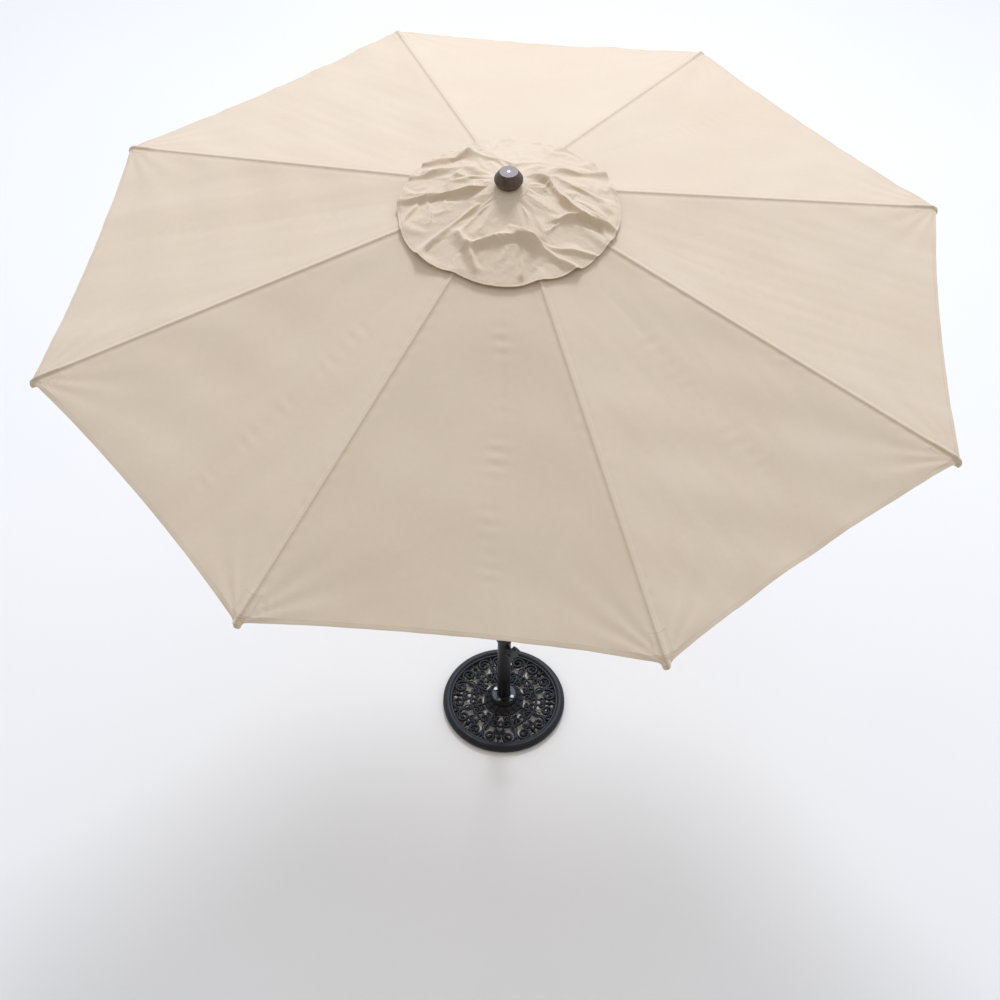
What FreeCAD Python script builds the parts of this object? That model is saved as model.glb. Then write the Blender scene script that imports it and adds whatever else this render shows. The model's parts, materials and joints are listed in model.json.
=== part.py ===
"""Market umbrella with crank, tilting mast and cast scroll base.

Row frame: +Z up, origin at the centre of the base's underside. Rib 1 points along +X and the
other ribs follow every 45 degrees. Lengths are millimetres and angles are degrees.
"""
import FreeCAD, Part
import math
import os

import Sketcher

os.makedirs("parts", exist_ok=True)

ORIGIN = FreeCAD.Vector(0, 0, 0)
X_AXIS = FreeCAD.Vector(1, 0, 0)
Y_AXIS = FreeCAD.Vector(0, 1, 0)
Z_AXIS = FreeCAD.Vector(0, 0, 1)

# Every driving size: name, value, meaning.
SIZES = [
    ("rib_count", 8, "ribs, struts and gores"),
    ("pole_r", 19, "outside of the pole tubes"),
    ("pole_wall", 1.6, "wall of the pole tubes"),
    ("snug", 0.1, "gap of parts that are fixed in one another"),
    ("running", 0.05, "radial clearance of a shaft that turns in a hole"),
    ("foot_tall", 6, "rubber feet below the casting"),
    ("foot_r", 11, "rubber feet"),
    ("base_r", 228, "outside of the base's rim"),
    ("rim_wide", 36, "rim of the base"),
    ("rim_tall", 24, "rim of the base"),
    ("foot_ring_r", 211, "circle of the rubber feet"),
    ("ring_r", 119, "centre line of the inner ring"),
    ("ring_half", 7, "radius of the inner ring's section"),
    ("scroll_far_r", 159, "centres of the outer scrolls"),
    ("scroll_r", 31, "outer scroll's bend"),
    ("scroll_half", 6.5, "radius of the outer scroll's section"),
    ("curl_far_r", 91, "centres of the inner curls"),
    ("curl_r", 17, "inner curl's bend"),
    ("curl_half", 5, "radius of the inner curl's section"),
    ("spoke_wide", 12, "spokes of the base"),
    ("spoke_tall", 13, "spokes of the base"),
    ("boss_top", 50, "top of the casting's boss"),
    ("boss_r", 74, "foot of the casting's boss"),
    ("drain_r", 6, "drain through the boss"),
    ("stem_r", 24, "outside of the base's stem"),
    ("stem_bore", 19.4, "bore of the base's stem"),
    ("stem_top", 430, "top of the stem tube"),
    ("flange_r", 45, "stem flange"),
    ("flange_tall", 7, "stem flange"),
    ("bolt_ring_r", 35, "circle of the flange bolts"),
    ("bolt_r", 4, "shank of the flange bolts"),
    ("bolt_head_r", 7, "head of the flange bolts"),
    ("bolt_deep", 20, "flange bolt's depth in the boss"),
    ("collar_r", 30, "outside of the stem's collar"),
    ("collar_top", 446, "top of the stem's collar"),
    ("knob_z", 372, "height of the clamp knob"),
    ("knob_azimuth", -67.5, "direction of the clamp knob"),
    ("knob_stud_r", 5, "clamp knob's stud"),
    ("knob_r", 19, "circle of the knob's lobes"),
    ("knob_lobe_r", 7.5, "one lobe of the knob"),
    ("knob_lobes", 6, "lobes of the knob"),
    ("joint_z", 760, "joint of the lower and upper pole"),
    ("spigot_top", 860, "top of the lower pole's spigot"),
    ("crank_z", 960, "height of the crank"),
    ("crank_azimuth", -112.5, "direction of the crank"),
    ("housing_tall", 110, "crank housing"),
    ("housing_r", 26, "crank housing round the pole"),
    ("housing_ear", 38, "reach of the housing's screw flanges"),
    ("housing_deep", 58, "front of the crank housing"),
    ("drum_case_r", 30, "drum case of the crank housing"),
    ("shaft_r", 6, "crank shaft"),
    ("arm_long", 90, "crank arm between its two axes"),
    ("grip_r", 12, "crank grip"),
    ("grip_long", 46, "crank grip"),
    ("grip_pin_r", 4, "pin that carries the grip"),
    ("pole_upper_top", 1780, "top of the upper pole"),
    ("tilt_z", 1815, "tilt axis"),
    ("tilt_pin_r", 4, "tilt pin"),
    ("tongue_r", 17, "round end of the tilt knuckle and its ears"),
    ("tongue_wide", 15.6, "tilt knuckle's tongue"),
    ("fork_gap", 16, "slot of the tilt fork"),
    ("button_r", 7, "tilt button"),
    ("button_z", 1762, "height of the tilt button"),
    ("hub_z", 2420, "rib pivots in the top hub"),
    ("pivot_r", 36, "rib and strut pivots from the pole's axis"),
    ("hub_r", 45, "top hub and runner"),
    ("slot_wide", 13, "slots of the hub and runner"),
    ("slot_floor_r", 25.5, "bottom of the hub and runner slots"),
    ("pin_r", 2.5, "rib and strut pins"),
    ("pin_long", 19, "rib and strut pins"),
    ("rib_drop", 15.5, "ribs below level when open, degrees"),
    ("rib_wide", 12, "rib tube"),
    ("rib_tall", 18, "rib tube"),
    ("tube_wall", 0.8, "wall of the rib and strut tubes"),
    ("rib_start", 12, "rib tube's start from the hub pivot"),
    ("rib_end", 1302, "rib tube's end from the hub pivot"),
    ("rib_tip", 1316, "tip cap's end from the hub pivot"),
    ("strut_at", 600, "strut pivot along the rib"),
    ("strut_below", 16, "strut pivot below the rib's middle"),
    ("strut_wide", 10, "strut tube"),
    ("strut_tall", 14, "strut tube"),
    ("eye_r", 5.6, "round ends of ribs and struts"),
    ("eye_wide", 11.4, "round ends of the struts"),
    ("cheek", 2, "plates of the strut bracket"),
    ("cloth_up", 10.2, "underside of the canopy above the rib's middle"),
    ("cloth", 1.2, "canopy fabric"),
    ("vent_r", 170, "corners of the canopy's top opening"),
    ("corner_r", 1308, "corners of the canopy"),
    ("eave_in", 18, "how far the eave bows in at mid gore"),
    ("cap_r", 308, "corners of the vent cap"),
    ("cap_gap", 2.5, "vent cap above the canopy at its corners"),
    ("cap_top", 2443, "vent cap's underside at the finial"),
    ("cap_hole_r", 19.5, "vent cap's hole for the finial"),
    ("finial_r", 38, "finial at its widest"),
    ("finial_top_r", 25, "finial's flat top"),
    ("finial_tall", 41, "finial above the vent cap"),
    ("runner_bore", 20, "runner's bore on the pole"),
]
# Sizes that follow from the ones above.
FORMULAS = [
    ("pole_in", "pole_r - pole_wall", "inside of the pole tubes"),
    ("plug_r", "pole_in - snug", "plugs and spigots inside the pole"),
    ("strut_long", "sqrt(strut_at^2 + strut_below^2)", "strut between its pivots"),
    ("strut_lean", "90 - rib_drop - atan(strut_below / strut_at) / 1deg", "strut from upright"),
    ("runner_z", "hub_z - 2 * strut_long * cos(strut_lean)", "strut pivots in the runner"),
    ("housing_low", "crank_z - housing_tall / 2", "bottom of the crank housing"),
    ("housing_high", "crank_z + housing_tall / 2", "top of the crank housing"),
    ("finial_low", "cap_top + 2", "underside of the finial"),
    ("finial_top", "finial_low + finial_tall", "top of the finial"),
]
SCRATCH_CELL = "H200"

doc = FreeCAD.newDocument("patio_umbrella")
sheet = doc.addObject("Spreadsheet::Sheet", "sizes")


def fill_sheet():
    """Write the driving sizes as numbers and the others as formulas."""
    rows = [(name, str(size), meaning) for name, size, meaning in SIZES]
    rows += [(name, f"={formula}", meaning) for name, formula, meaning in FORMULAS]
    for row, (name, content, meaning) in enumerate(rows, start=1):
        sheet.set(f"A{row}", name)
        sheet.set(f"B{row}", content)
        sheet.set(f"C{row}", meaning)
        sheet.setAlias(f"B{row}", name)
        sheet.recompute()


def value(formula):
    """Number that a formula in the sheet's names gives."""
    sheet.set(SCRATCH_CELL, f"={formula}")
    sheet.recompute()
    return float(sheet.get(SCRATCH_CELL))


def in_document(formula):
    """The formula with each of the sheet's names made readable outside the sheet."""
    words = {name for name, _, _ in SIZES + FORMULAS}
    parts = []
    word = ""
    for letter in formula + " ":
        if letter.isalnum() or letter == "_":
            word += letter
            continue
        parts.append(f"sizes.{word}" if word in words else word)
        parts.append(letter)
        word = ""
    return "".join(parts).strip()


def bind(item, prop, formula):
    """Drive one property from the sheet."""
    item.setExpression(prop, in_document(formula))


def move(item, x="0", y="0", z="0"):
    """Drive an object's position from the sheet."""
    for axis, formula in zip("xyz", (x, y, z)):
        if formula != "0":
            bind(item, f"Placement.Base.{axis}", formula)
    return item


def turn(item, formula, axis=Z_AXIS):
    """Turn an object about an axis by an angle from the sheet."""
    item.Placement = FreeCAD.Placement(item.Placement.Base, FreeCAD.Rotation(axis, 1))
    bind(item, "Placement.Rotation.Angle", formula)
    return item


# --- Part primitives -------------------------------------------------------------------


def box(low, size):
    """Box from its low corner and its size, each three formulas."""
    item = doc.addObject("Part::Box", "block")
    for prop, formula in zip(("Length", "Width", "Height"), size):
        bind(item, prop, formula)
    return move(item, *low)


def rod(axis, start, radius, length):
    """Cylinder along X, Y or Z from the middle of its first end."""
    item = doc.addObject("Part::Cylinder", "rod")
    bind(item, "Radius", radius)
    bind(item, "Height", length)
    if axis == "X":
        turn(item, "90", Y_AXIS)
    if axis == "Y":
        turn(item, "-90", X_AXIS)
    return move(item, *start)


def hoop(radius, section, x="0", z="0"):
    """Ring of round section that lies flat."""
    item = doc.addObject("Part::Torus", "hoop")
    bind(item, "Radius1", radius)
    bind(item, "Radius2", section)
    return move(item, x=x, z=z)


def fuse(name, items):
    """Union of several objects."""
    item = doc.addObject("Part::MultiFuse", name)
    item.Shapes = items
    return item


def common(name, items):
    """What several objects share."""
    item = doc.addObject("Part::MultiCommon", name)
    item.Shapes = items
    return item


def cut(name, base, tools):
    """One object less others."""
    item = doc.addObject("Part::Cut", name)
    item.Base = base
    item.Tool = tools[0] if len(tools) == 1 else fuse(f"{name}_tools", tools)
    return item


def group(name, items):
    """Separate solids that share one object."""
    item = doc.addObject("Part::Compound", name)
    item.Links = items
    return item


def ring_of(name, item, count, first="0"):
    """Copies of an object all round the mast."""
    total = round(value(count))
    copies = []
    for number in range(total):
        copy = group(f"{name}_copy", [item])
        copies.append(turn(copy, f"{first} + {number} * 360 / {count}"))
    return group(name, copies)


# --- PartDesign bodies -----------------------------------------------------------------


def sketch_in(body, plane):
    """Empty sketch on one of a body's own planes."""
    sketch = body.newObject("Sketcher::SketchObject", f"{body.Name}_sketch")
    planes = [item for item in body.Origin.OriginFeatures if item.Role == plane]
    sketch.AttachmentSupport = [(planes[0], "")]
    sketch.MapMode = "FlatFace"
    return sketch


def outline(sketch, corners):
    """Closed outline with every corner driven from the sheet."""
    points = [FreeCAD.Vector(value(x), value(y), 0) for x, y in corners]
    first = sketch.GeometryCount
    count = len(points)
    for number, point in enumerate(points):
        line = Part.LineSegment(point, points[(number + 1) % count])
        sketch.addGeometry(line, False)
    for number in range(count):
        following = first + (number + 1) % count
        joined = Sketcher.Constraint("Coincident", first + number, 2, following, 1)
        sketch.addConstraint(joined)
    for number, corner in enumerate(corners):
        across = ("DistanceX", points[number].x, corner[0])
        upward = ("DistanceY", points[number].y, corner[1])
        for kind, size, formula in (across, upward):
            rule = Sketcher.Constraint(kind, -1, 1, first + number, 1, size)
            bind(sketch, f"Constraints[{sketch.addConstraint(rule)}]", formula)


def turned(name, corners):
    """Body turned about Z from corners given as (radius, height)."""
    body = doc.addObject("PartDesign::Body", name)
    sketch = sketch_in(body, "XZ_Plane")
    outline(sketch, corners)
    turning = body.newObject("PartDesign::Revolution", f"{name}_turning")
    turning.Profile = sketch
    turning.ReferenceAxis = (sketch, ["V_Axis"])
    turning.Angle = 360
    return body


def tube_body(name, wide, tall, wall, start, length):
    """Rectangular tube along X, centred on the X axis."""
    body = doc.addObject("PartDesign::Body", name)
    sketch = sketch_in(body, "YZ_Plane")
    for less in ("0", wall):
        half_wide = f"({wide} / 2 - {less})"
        half_tall = f"({tall} / 2 - {less})"
        corners = [
            (f"-{half_wide}", f"-{half_tall}"),
            (half_wide, f"-{half_tall}"),
            (half_wide, half_tall),
            (f"-{half_wide}", half_tall),
        ]
        outline(sketch, corners)
    bind(sketch, "AttachmentOffset.Base.z", start)
    pad = body.newObject("PartDesign::Pad", f"{name}_pad")
    pad.Profile = sketch
    bind(pad, "Length", length)
    return body


# --- The base --------------------------------------------------------------------------


def base_casting():
    """Openwork casting: domed rim, inner ring, spokes, scrolls, curls and a solid boss."""
    rim = turned(
        "rim",
        [
            ("base_r - rim_wide", "foot_tall"),
            ("base_r - 3", "foot_tall"),
            ("base_r", "foot_tall + 4"),
            ("base_r", "foot_tall + 11"),
            ("base_r - 4", "foot_tall + rim_tall - 6"),
            ("base_r - 11", "foot_tall + rim_tall - 1"),
            ("base_r - 18", "foot_tall + rim_tall"),
            ("base_r - 26", "foot_tall + rim_tall - 4"),
            ("base_r - rim_wide", "foot_tall + rim_tall - 12"),
        ],
    )
    ring = hoop("ring_r", "ring_half", z="foot_tall + ring_half + 2")
    spoke = box(
        ("boss_r - 20", "-spoke_wide / 2", "foot_tall + 3"),
        ("base_r - rim_wide / 2 - boss_r + 20", "spoke_wide", "spoke_tall - 5"),
    )
    scroll = hoop("scroll_r", "scroll_half", "scroll_far_r", "foot_tall + scroll_half + 1")
    curl = hoop("curl_r", "curl_half", "curl_far_r", "foot_tall + curl_half + 4")
    boss = turned(
        "boss",
        [
            ("drain_r", "foot_tall + 6"),
            ("boss_r - 8", "foot_tall + 2"),
            ("boss_r", "foot_tall + 4"),
            ("boss_r", "foot_tall + 12"),
            ("boss_r - 12", "foot_tall + 22"),
            ("flange_r + 4", "boss_top - 8"),
            ("flange_r + 3", "boss_top"),
            ("drain_r", "boss_top"),
        ],
    )
    bolt_hole = rod(
        "Z",
        ("bolt_ring_r", "0", "boss_top - bolt_deep - 1"),
        "bolt_r + running",
        "bolt_deep + 2",
    )
    motifs = [
        ring_of("spokes", spoke, "8"),
        ring_of("scrolls", scroll, "8", "22.5"),
        ring_of("curls", curl, "8", "22.5"),
    ]
    casting = fuse("casting", [rim, ring, boss] + motifs)
    return cut("base_casting", casting, [ring_of("bolt_holes", bolt_hole, "4", "45")])


def base_feet():
    """Rubber pads under the rim."""
    foot = rod("Z", ("foot_ring_r", "0", "0"), "foot_r", "foot_tall")
    return ring_of("base_feet", foot, "8", "22.5")


def base_stem():
    """Flanged socket tube with a nut boss for the clamp knob."""
    tube = turned(
        "stem",
        [
            ("stem_bore", "boss_top"),
            ("flange_r", "boss_top"),
            ("flange_r", "boss_top + flange_tall - 2"),
            ("flange_r - 2", "boss_top + flange_tall"),
            ("stem_r + 3", "boss_top + flange_tall"),
            ("stem_r", "boss_top + flange_tall + 4"),
            ("stem_r", "stem_top"),
            ("stem_bore", "stem_top"),
        ],
    )
    nut = rod("X", ("stem_r - 2", "0", "0"), "knob_stud_r + 4.5", "11")
    thread = rod("X", ("0", "0", "0"), "knob_stud_r + running", "stem_r + 20")
    stud_hole = turn(move(group("stud_hole", [thread]), z="knob_z"), "knob_azimuth")
    nut_boss = turn(move(group("nut_boss", [nut]), z="knob_z"), "knob_azimuth")
    bolt_hole = rod("Z", ("bolt_ring_r", "0", "boss_top - 1"), "bolt_r + running", "flange_tall + 2")
    holes = [stud_hole, ring_of("flange_holes", bolt_hole, "4", "45")]
    return cut("base_stem", fuse("stem_with_nut", [tube, nut_boss]), holes)


def stem_bolts():
    """Bolts that hold the stem's flange on the casting."""
    shank = rod("Z", ("bolt_ring_r", "0", "boss_top - bolt_deep"), "bolt_r", "bolt_deep + flange_tall")
    head = doc.addObject("Part::Prism", "bolt_head")
    bind(head, "Circumradius", "bolt_head_r")
    bind(head, "Height", "5")
    move(head, x="bolt_ring_r", z="boss_top + flange_tall")
    return ring_of("stem_bolts", fuse("bolt", [shank, head]), "4", "45")


def stem_collar():
    """Moulded collar on top of the stem that centres the pole."""
    return turned(
        "stem_collar",
        [
            ("stem_r + snug", "stem_top - 20"),
            ("collar_r", "stem_top - 20"),
            ("collar_r", "collar_top - 5"),
            ("collar_r - 3", "collar_top"),
            ("stem_bore", "collar_top"),
            ("stem_bore", "stem_top + snug"),
            ("stem_r + snug", "stem_top + snug"),
        ],
    )


def clamp_knob():
    """Lobed knob on a stud that presses on the pole."""
    stud = rod("X", ("pole_r + 0.3", "0", "0"), "knob_stud_r", "30")
    neck = rod("X", ("stem_r + 10", "0", "0"), "11", "8")
    head = rod("X", ("stem_r + 17", "0", "0"), "knob_r", "18")
    lobes = []
    for number in range(round(value("knob_lobes"))):
        angle = f"{number} * 360 / knob_lobes"
        lobe = rod(
            "X",
            ("stem_r + 17", f"knob_r * cos({angle})", f"knob_r * sin({angle})"),
            "knob_lobe_r",
            "18",
        )
        lobes.append(lobe)
    knob = fuse("clamp_knob", [stud, neck, head] + lobes)
    return turn(move(knob, z="knob_z"), "knob_azimuth")


# --- The pole --------------------------------------------------------------------------


def pole_lower():
    """Lower pole tube with a reduced spigot on top."""
    return turned(
        "pole_lower",
        [
            ("pole_in", "boss_top + 0.5"),
            ("pole_r", "boss_top + 0.5"),
            ("pole_r", "joint_z"),
            ("plug_r", "joint_z + 2"),
            ("plug_r", "spigot_top - 4"),
            ("plug_r - 1.4", "spigot_top"),
            ("plug_r - pole_wall", "spigot_top"),
            ("plug_r - pole_wall", "joint_z - 30"),
            ("pole_in", "joint_z - 34"),
        ],
    )


def pole_foot_plug():
    """Plug that closes the pole's foot and stands on the boss."""
    return group("pole_foot_plug", [rod("Z", ("0", "0", "boss_top + 0.2"), "plug_r", "24")])


def pole_upper():
    """Upper pole tube with openings for the crank's cord and the tilt button."""
    tube = turned(
        "upper_tube",
        [
            ("pole_in", "joint_z + 2.4"),
            ("pole_r", "joint_z + 2.4"),
            ("pole_r", "pole_upper_top"),
            ("pole_in", "pole_upper_top"),
        ],
    )
    window = box(("pole_in - 8", "-5", "crank_z - 12"), ("12", "10", "34"))
    cord_slot = turn(group("cord_slot", [window]), "crank_azimuth")
    button_hole = rod("Y", ("0", "-pole_r - 1", "button_z"), "button_r + running", "pole_r")
    return cut("pole_upper", tube, [cord_slot, button_hole])


# --- The crank, drawn with its axis along X and turned to its direction -----------------


def housing_blank(name, start, depth):
    """Solid half of the crank housing, from one side of its split."""
    barrel = rod("Z", ("0", "0", "housing_low"), "housing_r", "housing_tall")
    ears = box(("-8", "-housing_ear", "housing_low"), ("16", "2 * housing_ear", "housing_tall"))
    half = box((start, "-60", "housing_low - 5"), (depth, "120", "housing_tall + 10"))
    return common(name, [fuse(f"{name}_whole", [barrel, ears]), half])


def screw_rods(name, radius, start, length):
    """Rods at the crank housing's four screws."""
    rods = []
    for side in ("-1", "1"):
        for height in ("housing_low + 10", "housing_high - 10"):
            place = (start, f"{side} * (housing_ear - 6)", height)
            rods.append(rod("X", place, radius, length))
    return group(name, rods)


def crank_housing_back():
    """Rear clamp shell of the crank housing."""
    blank = housing_blank("back_blank", "-60", "59.8")
    bore = rod("Z", ("0", "0", "housing_low - 1"), "pole_r + snug", "housing_tall + 2")
    screws = screw_rods("back_screw_holes", "2 + running", "-20", "40")
    return turn(cut("crank_housing_back", blank, [bore, screws]), "crank_azimuth")


def crank_housing_front():
    """Front shell of the crank housing with the round drum case."""
    blank = housing_blank("front_blank", "0.2", "60")
    case = rod("X", ("8", "0", "crank_z"), "drum_case_r", "housing_deep - 8")
    bore = rod("Z", ("0", "0", "housing_low - 1"), "pole_r + snug", "housing_tall + 2")
    cavity = rod("X", ("pole_r + 4", "0", "crank_z"), "drum_case_r - 4", "housing_deep - pole_r - 8")
    shaft_hole = rod("X", ("pole_r + 4", "0", "crank_z"), "shaft_r + running", "housing_deep")
    cord_way = box(("pole_r - 4", "-5", "crank_z - 10"), ("10", "10", "30"))
    screws = screw_rods("front_screw_holes", "2 + running", "-20", "40")
    tools = [bore, cavity, shaft_hole, cord_way, screws]
    return turn(cut("crank_housing_front", fuse("front_whole", [blank, case]), tools), "crank_azimuth")


def housing_screws():
    """Screws that clamp the two shells on the pole."""
    shanks = screw_rods("screw_shanks", "2", "-6", "14")
    heads = screw_rods("screw_heads", "3.8", "8", "2.6")
    return turn(fuse("housing_screws", [shanks, heads]), "crank_azimuth")


def crank_spool():
    """Shaft with the cord drum between two flanges."""
    shaft = rod("X", ("pole_r + 5", "0", "crank_z"), "shaft_r", "housing_deep - pole_r + 7")
    drum = rod("X", ("pole_r + 7", "0", "crank_z"), "11", "24")
    cheeks = []
    for start in ("pole_r + 7", "pole_r + 28"):
        cheeks.append(rod("X", (start, "0", "crank_z"), "drum_case_r - 7", "3"))
    return turn(fuse("crank_spool", [shaft, drum] + cheeks), "crank_azimuth")


def crank_arm():
    """Crank arm with the pin that carries the grip."""
    near = rod("X", ("housing_deep + 1", "0", "crank_z"), "11", "11")
    far = rod("X", ("housing_deep + 4", "0", "crank_z - arm_long"), "9", "8")
    bar = box(("housing_deep + 4", "-7", "crank_z - arm_long"), ("8", "14", "arm_long"))
    pin = rod("X", ("housing_deep + 5", "0", "crank_z - arm_long"), "grip_pin_r", "grip_long + 4")
    hole = rod("X", ("housing_deep", "0", "crank_z"), "shaft_r + running / 4", "13.01")
    blank = fuse("arm_blank", [near, far, bar, pin])
    return turn(cut("crank_arm", blank, [hole]), "crank_azimuth")


def crank_grip():
    """Round grip that turns on the arm's pin."""
    grip = turned(
        "grip_turned",
        [
            ("grip_pin_r + running", "0"),
            ("grip_r - 3", "0"),
            ("grip_r - 1", "3"),
            ("grip_r", "grip_long / 2"),
            ("grip_r - 1", "grip_long - 4"),
            ("grip_r - 4", "grip_long"),
            ("0", "grip_long"),
            ("0", "grip_long - 3"),
            ("grip_pin_r + running", "grip_long - 3"),
        ],
    )
    laid = turn(group("grip_laid", [grip]), "90", Y_AXIS)
    move(laid, x="housing_deep + 13", z="crank_z - arm_long")
    return turn(group("crank_grip", [laid]), "crank_azimuth")


# --- The tilt joint --------------------------------------------------------------------


def tilt_fork():
    """Plug in the upper pole with two ears for the tilt pin and a bore for the button."""
    barrel = rod("Z", ("0", "0", "pole_upper_top + 0.2"), "pole_r", "tilt_z + tongue_r - pole_upper_top")
    low = box(("-30", "-30", "pole_upper_top"), ("60", "60", "tilt_z - pole_upper_top"))
    round_ears = rod("Y", ("0", "-30", "tilt_z"), "tongue_r", "60")
    ears = common("fork_ears", [barrel, fuse("fork_shape", [low, round_ears])])
    plug = rod("Z", ("0", "0", "pole_upper_top - 58"), "plug_r", "58.2")
    slot = box(("-30", "-fork_gap / 2", "tilt_z - tongue_r - 1"), ("60", "fork_gap", "60"))
    pin_hole = rod("Y", ("0", "-30", "tilt_z"), "tilt_pin_r + snug / 5", "60")
    button_bore = rod("Y", ("0", "-pole_r - 1", "button_z"), "button_r + running", "pole_r - 1")
    return cut("tilt_fork", fuse("fork_blank", [ears, plug]), [slot, pin_hole, button_bore])


def tilt_pin():
    """Pin through the fork and the knuckle."""
    return group("tilt_pin", [rod("Y", ("0", "-17.8", "tilt_z"), "tilt_pin_r", "35.6")])


def tilt_knuckle():
    """Tongue on the tilt pin that carries the head of the mast."""
    round_end = rod("Y", ("0", "-tongue_wide / 2", "tilt_z"), "tongue_r", "tongue_wide")
    neck = box(("-tongue_r", "-tongue_wide / 2", "tilt_z"), ("2 * tongue_r", "tongue_wide", "22"))
    barrel = rod("Z", ("0", "0", "tilt_z - 30"), "pole_r", "60")
    tongue = common("tongue", [fuse("tongue_blank", [round_end, neck]), barrel])
    shoulder = rod("Z", ("0", "0", "tilt_z + tongue_r + 4"), "pole_r", "16")
    plug = rod("Z", ("0", "0", "tilt_z + tongue_r + 19"), "plug_r", "46")
    pin_hole = rod("Y", ("0", "-30", "tilt_z"), "tilt_pin_r + running", "60")
    return cut("tilt_knuckle", fuse("knuckle_blank", [tongue, shoulder, plug]), [pin_hole])


def tilt_button():
    """Push button that frees the tilt joint, its head rounded so that the runner passes over it."""
    button = rod("Y", ("0", "-pole_r - 2", "button_z"), "button_r", "10.5")
    passing = rod("Z", ("0", "0", "button_z - button_r - 1"), "pole_r + 0.6", "2 * button_r + 2")
    return common("tilt_button", [button, passing])


def tilt_spring():
    """Coil spring between the button and the bottom of its bore."""
    wire = 0.6
    coil_r = value("button_r") - 2
    room = value("pole_r") - 10.5 - 3
    path = Part.makeHelix(room / 4, room, coil_r)
    section = Part.Wire(Part.makeCircle(wire, FreeCAD.Vector(coil_r, 0, 0), Y_AXIS))
    coil = Part.Wire(path).makePipeShell([section], True, True)
    spring = doc.addObject("Part::Feature", "tilt_spring")
    spring.Shape = coil
    place = FreeCAD.Vector(0, -value("pole_r") + 9.4, value("button_z"))
    spring.Placement = FreeCAD.Placement(place, FreeCAD.Rotation(X_AXIS, -90))
    return spring


# --- The head of the mast --------------------------------------------------------------


def pole_top():
    """Short pole tube from the tilt knuckle to the finial."""
    return turned(
        "pole_top",
        [
            ("pole_in", "tilt_z + tongue_r + 20.3"),
            ("pole_r", "tilt_z + tongue_r + 20.3"),
            ("pole_r", "hub_z + 21"),
            ("pole_in", "hub_z + 21"),
        ],
    )


def slotted(name, blank, low, bottom, height):
    """Blank with one slot and one pin hole for every rib."""
    slot = box(("slot_floor_r", "-slot_wide / 2", bottom), ("30", "slot_wide", height))
    hole = rod("Y", ("pivot_r", "-pin_long / 2 - 0.5", low), "pin_r + snug / 5", "pin_long + 1")
    slots = ring_of(f"{name}_slots", slot, "rib_count")
    holes = ring_of(f"{name}_holes", hole, "rib_count")
    return cut(name, blank, [slots, holes])


def pivot_pins(name, height):
    """Pins of one ring of pivots."""
    pin = rod("Y", ("pivot_r", "-pin_long / 2", height), "pin_r", "pin_long")
    return ring_of(name, pin, "rib_count")


def top_hub():
    """Slotted hub that carries the ribs."""
    blank = turned(
        "hub_turned",
        [
            ("pole_r + snug", "hub_z - 20"),
            ("hub_r - 13", "hub_z - 20"),
            ("hub_r", "hub_z - 15"),
            ("hub_r", "hub_z + 8"),
            ("hub_r - 8", "hub_z + 13"),
            ("pole_r + snug", "hub_z + 13"),
        ],
    )
    return slotted("top_hub", blank, "hub_z", "hub_z - 30", "60")


def runner():
    """Slotted runner on the pole that carries the struts."""
    blank = turned(
        "runner_turned",
        [
            ("runner_bore", "runner_z - 34"),
            ("runner_bore + 8", "runner_z - 34"),
            ("runner_bore + 11", "runner_z - 22"),
            ("hub_r", "runner_z - 15"),
            ("hub_r", "runner_z + 12"),
            ("hub_r - 6", "runner_z + 17"),
            ("runner_bore", "runner_z + 17"),
        ],
    )
    return slotted("runner", blank, "runner_z", "runner_z - 9", "60")


def finial():
    """Turned finial with a spigot in the top of the pole and a bore for its screw."""
    blank = turned(
        "finial_turned",
        [
            ("0", "finial_low - 20"),
            ("plug_r", "finial_low - 20"),
            ("plug_r", "finial_low"),
            ("finial_r - 7", "finial_low"),
            ("finial_r - 4", "finial_low + 4"),
            ("finial_r", "finial_low + 13"),
            ("finial_r", "finial_low + 19"),
            ("finial_r - 1", "finial_low + 22"),
            ("finial_top_r + 1", "finial_top - 1.5"),
            ("finial_top_r - 0.5", "finial_top"),
            ("0", "finial_top"),
        ],
    )
    bore = rod("Z", ("0", "0", "finial_top - 20"), "2.5 + running", "30")
    recess = rod("Z", ("0", "0", "finial_top - 2"), "4.5 + running", "5")
    return cut("finial", blank, [bore, recess])


def finial_screw():
    """Screw in the finial's top."""
    shank = rod("Z", ("0", "0", "finial_top - 19"), "2.5", "18")
    head = rod("Z", ("0", "0", "finial_top - 2"), "4.5", "2.2")
    return fuse("finial_screw", [shank, head])


# --- One rib, strut and gore, drawn towards +X ------------------------------------------


def rib_frame(item):
    """Place an object drawn from the hub pivot along the rib."""
    return move(turn(item, "rib_drop", Y_AXIS), x="pivot_r", z="hub_z")


def rib_tube():
    """Rib tube."""
    tube = tube_body("rib_tube", "rib_wide", "rib_tall", "tube_wall", "rib_start", "rib_end - rib_start")
    return rib_frame(tube)


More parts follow.
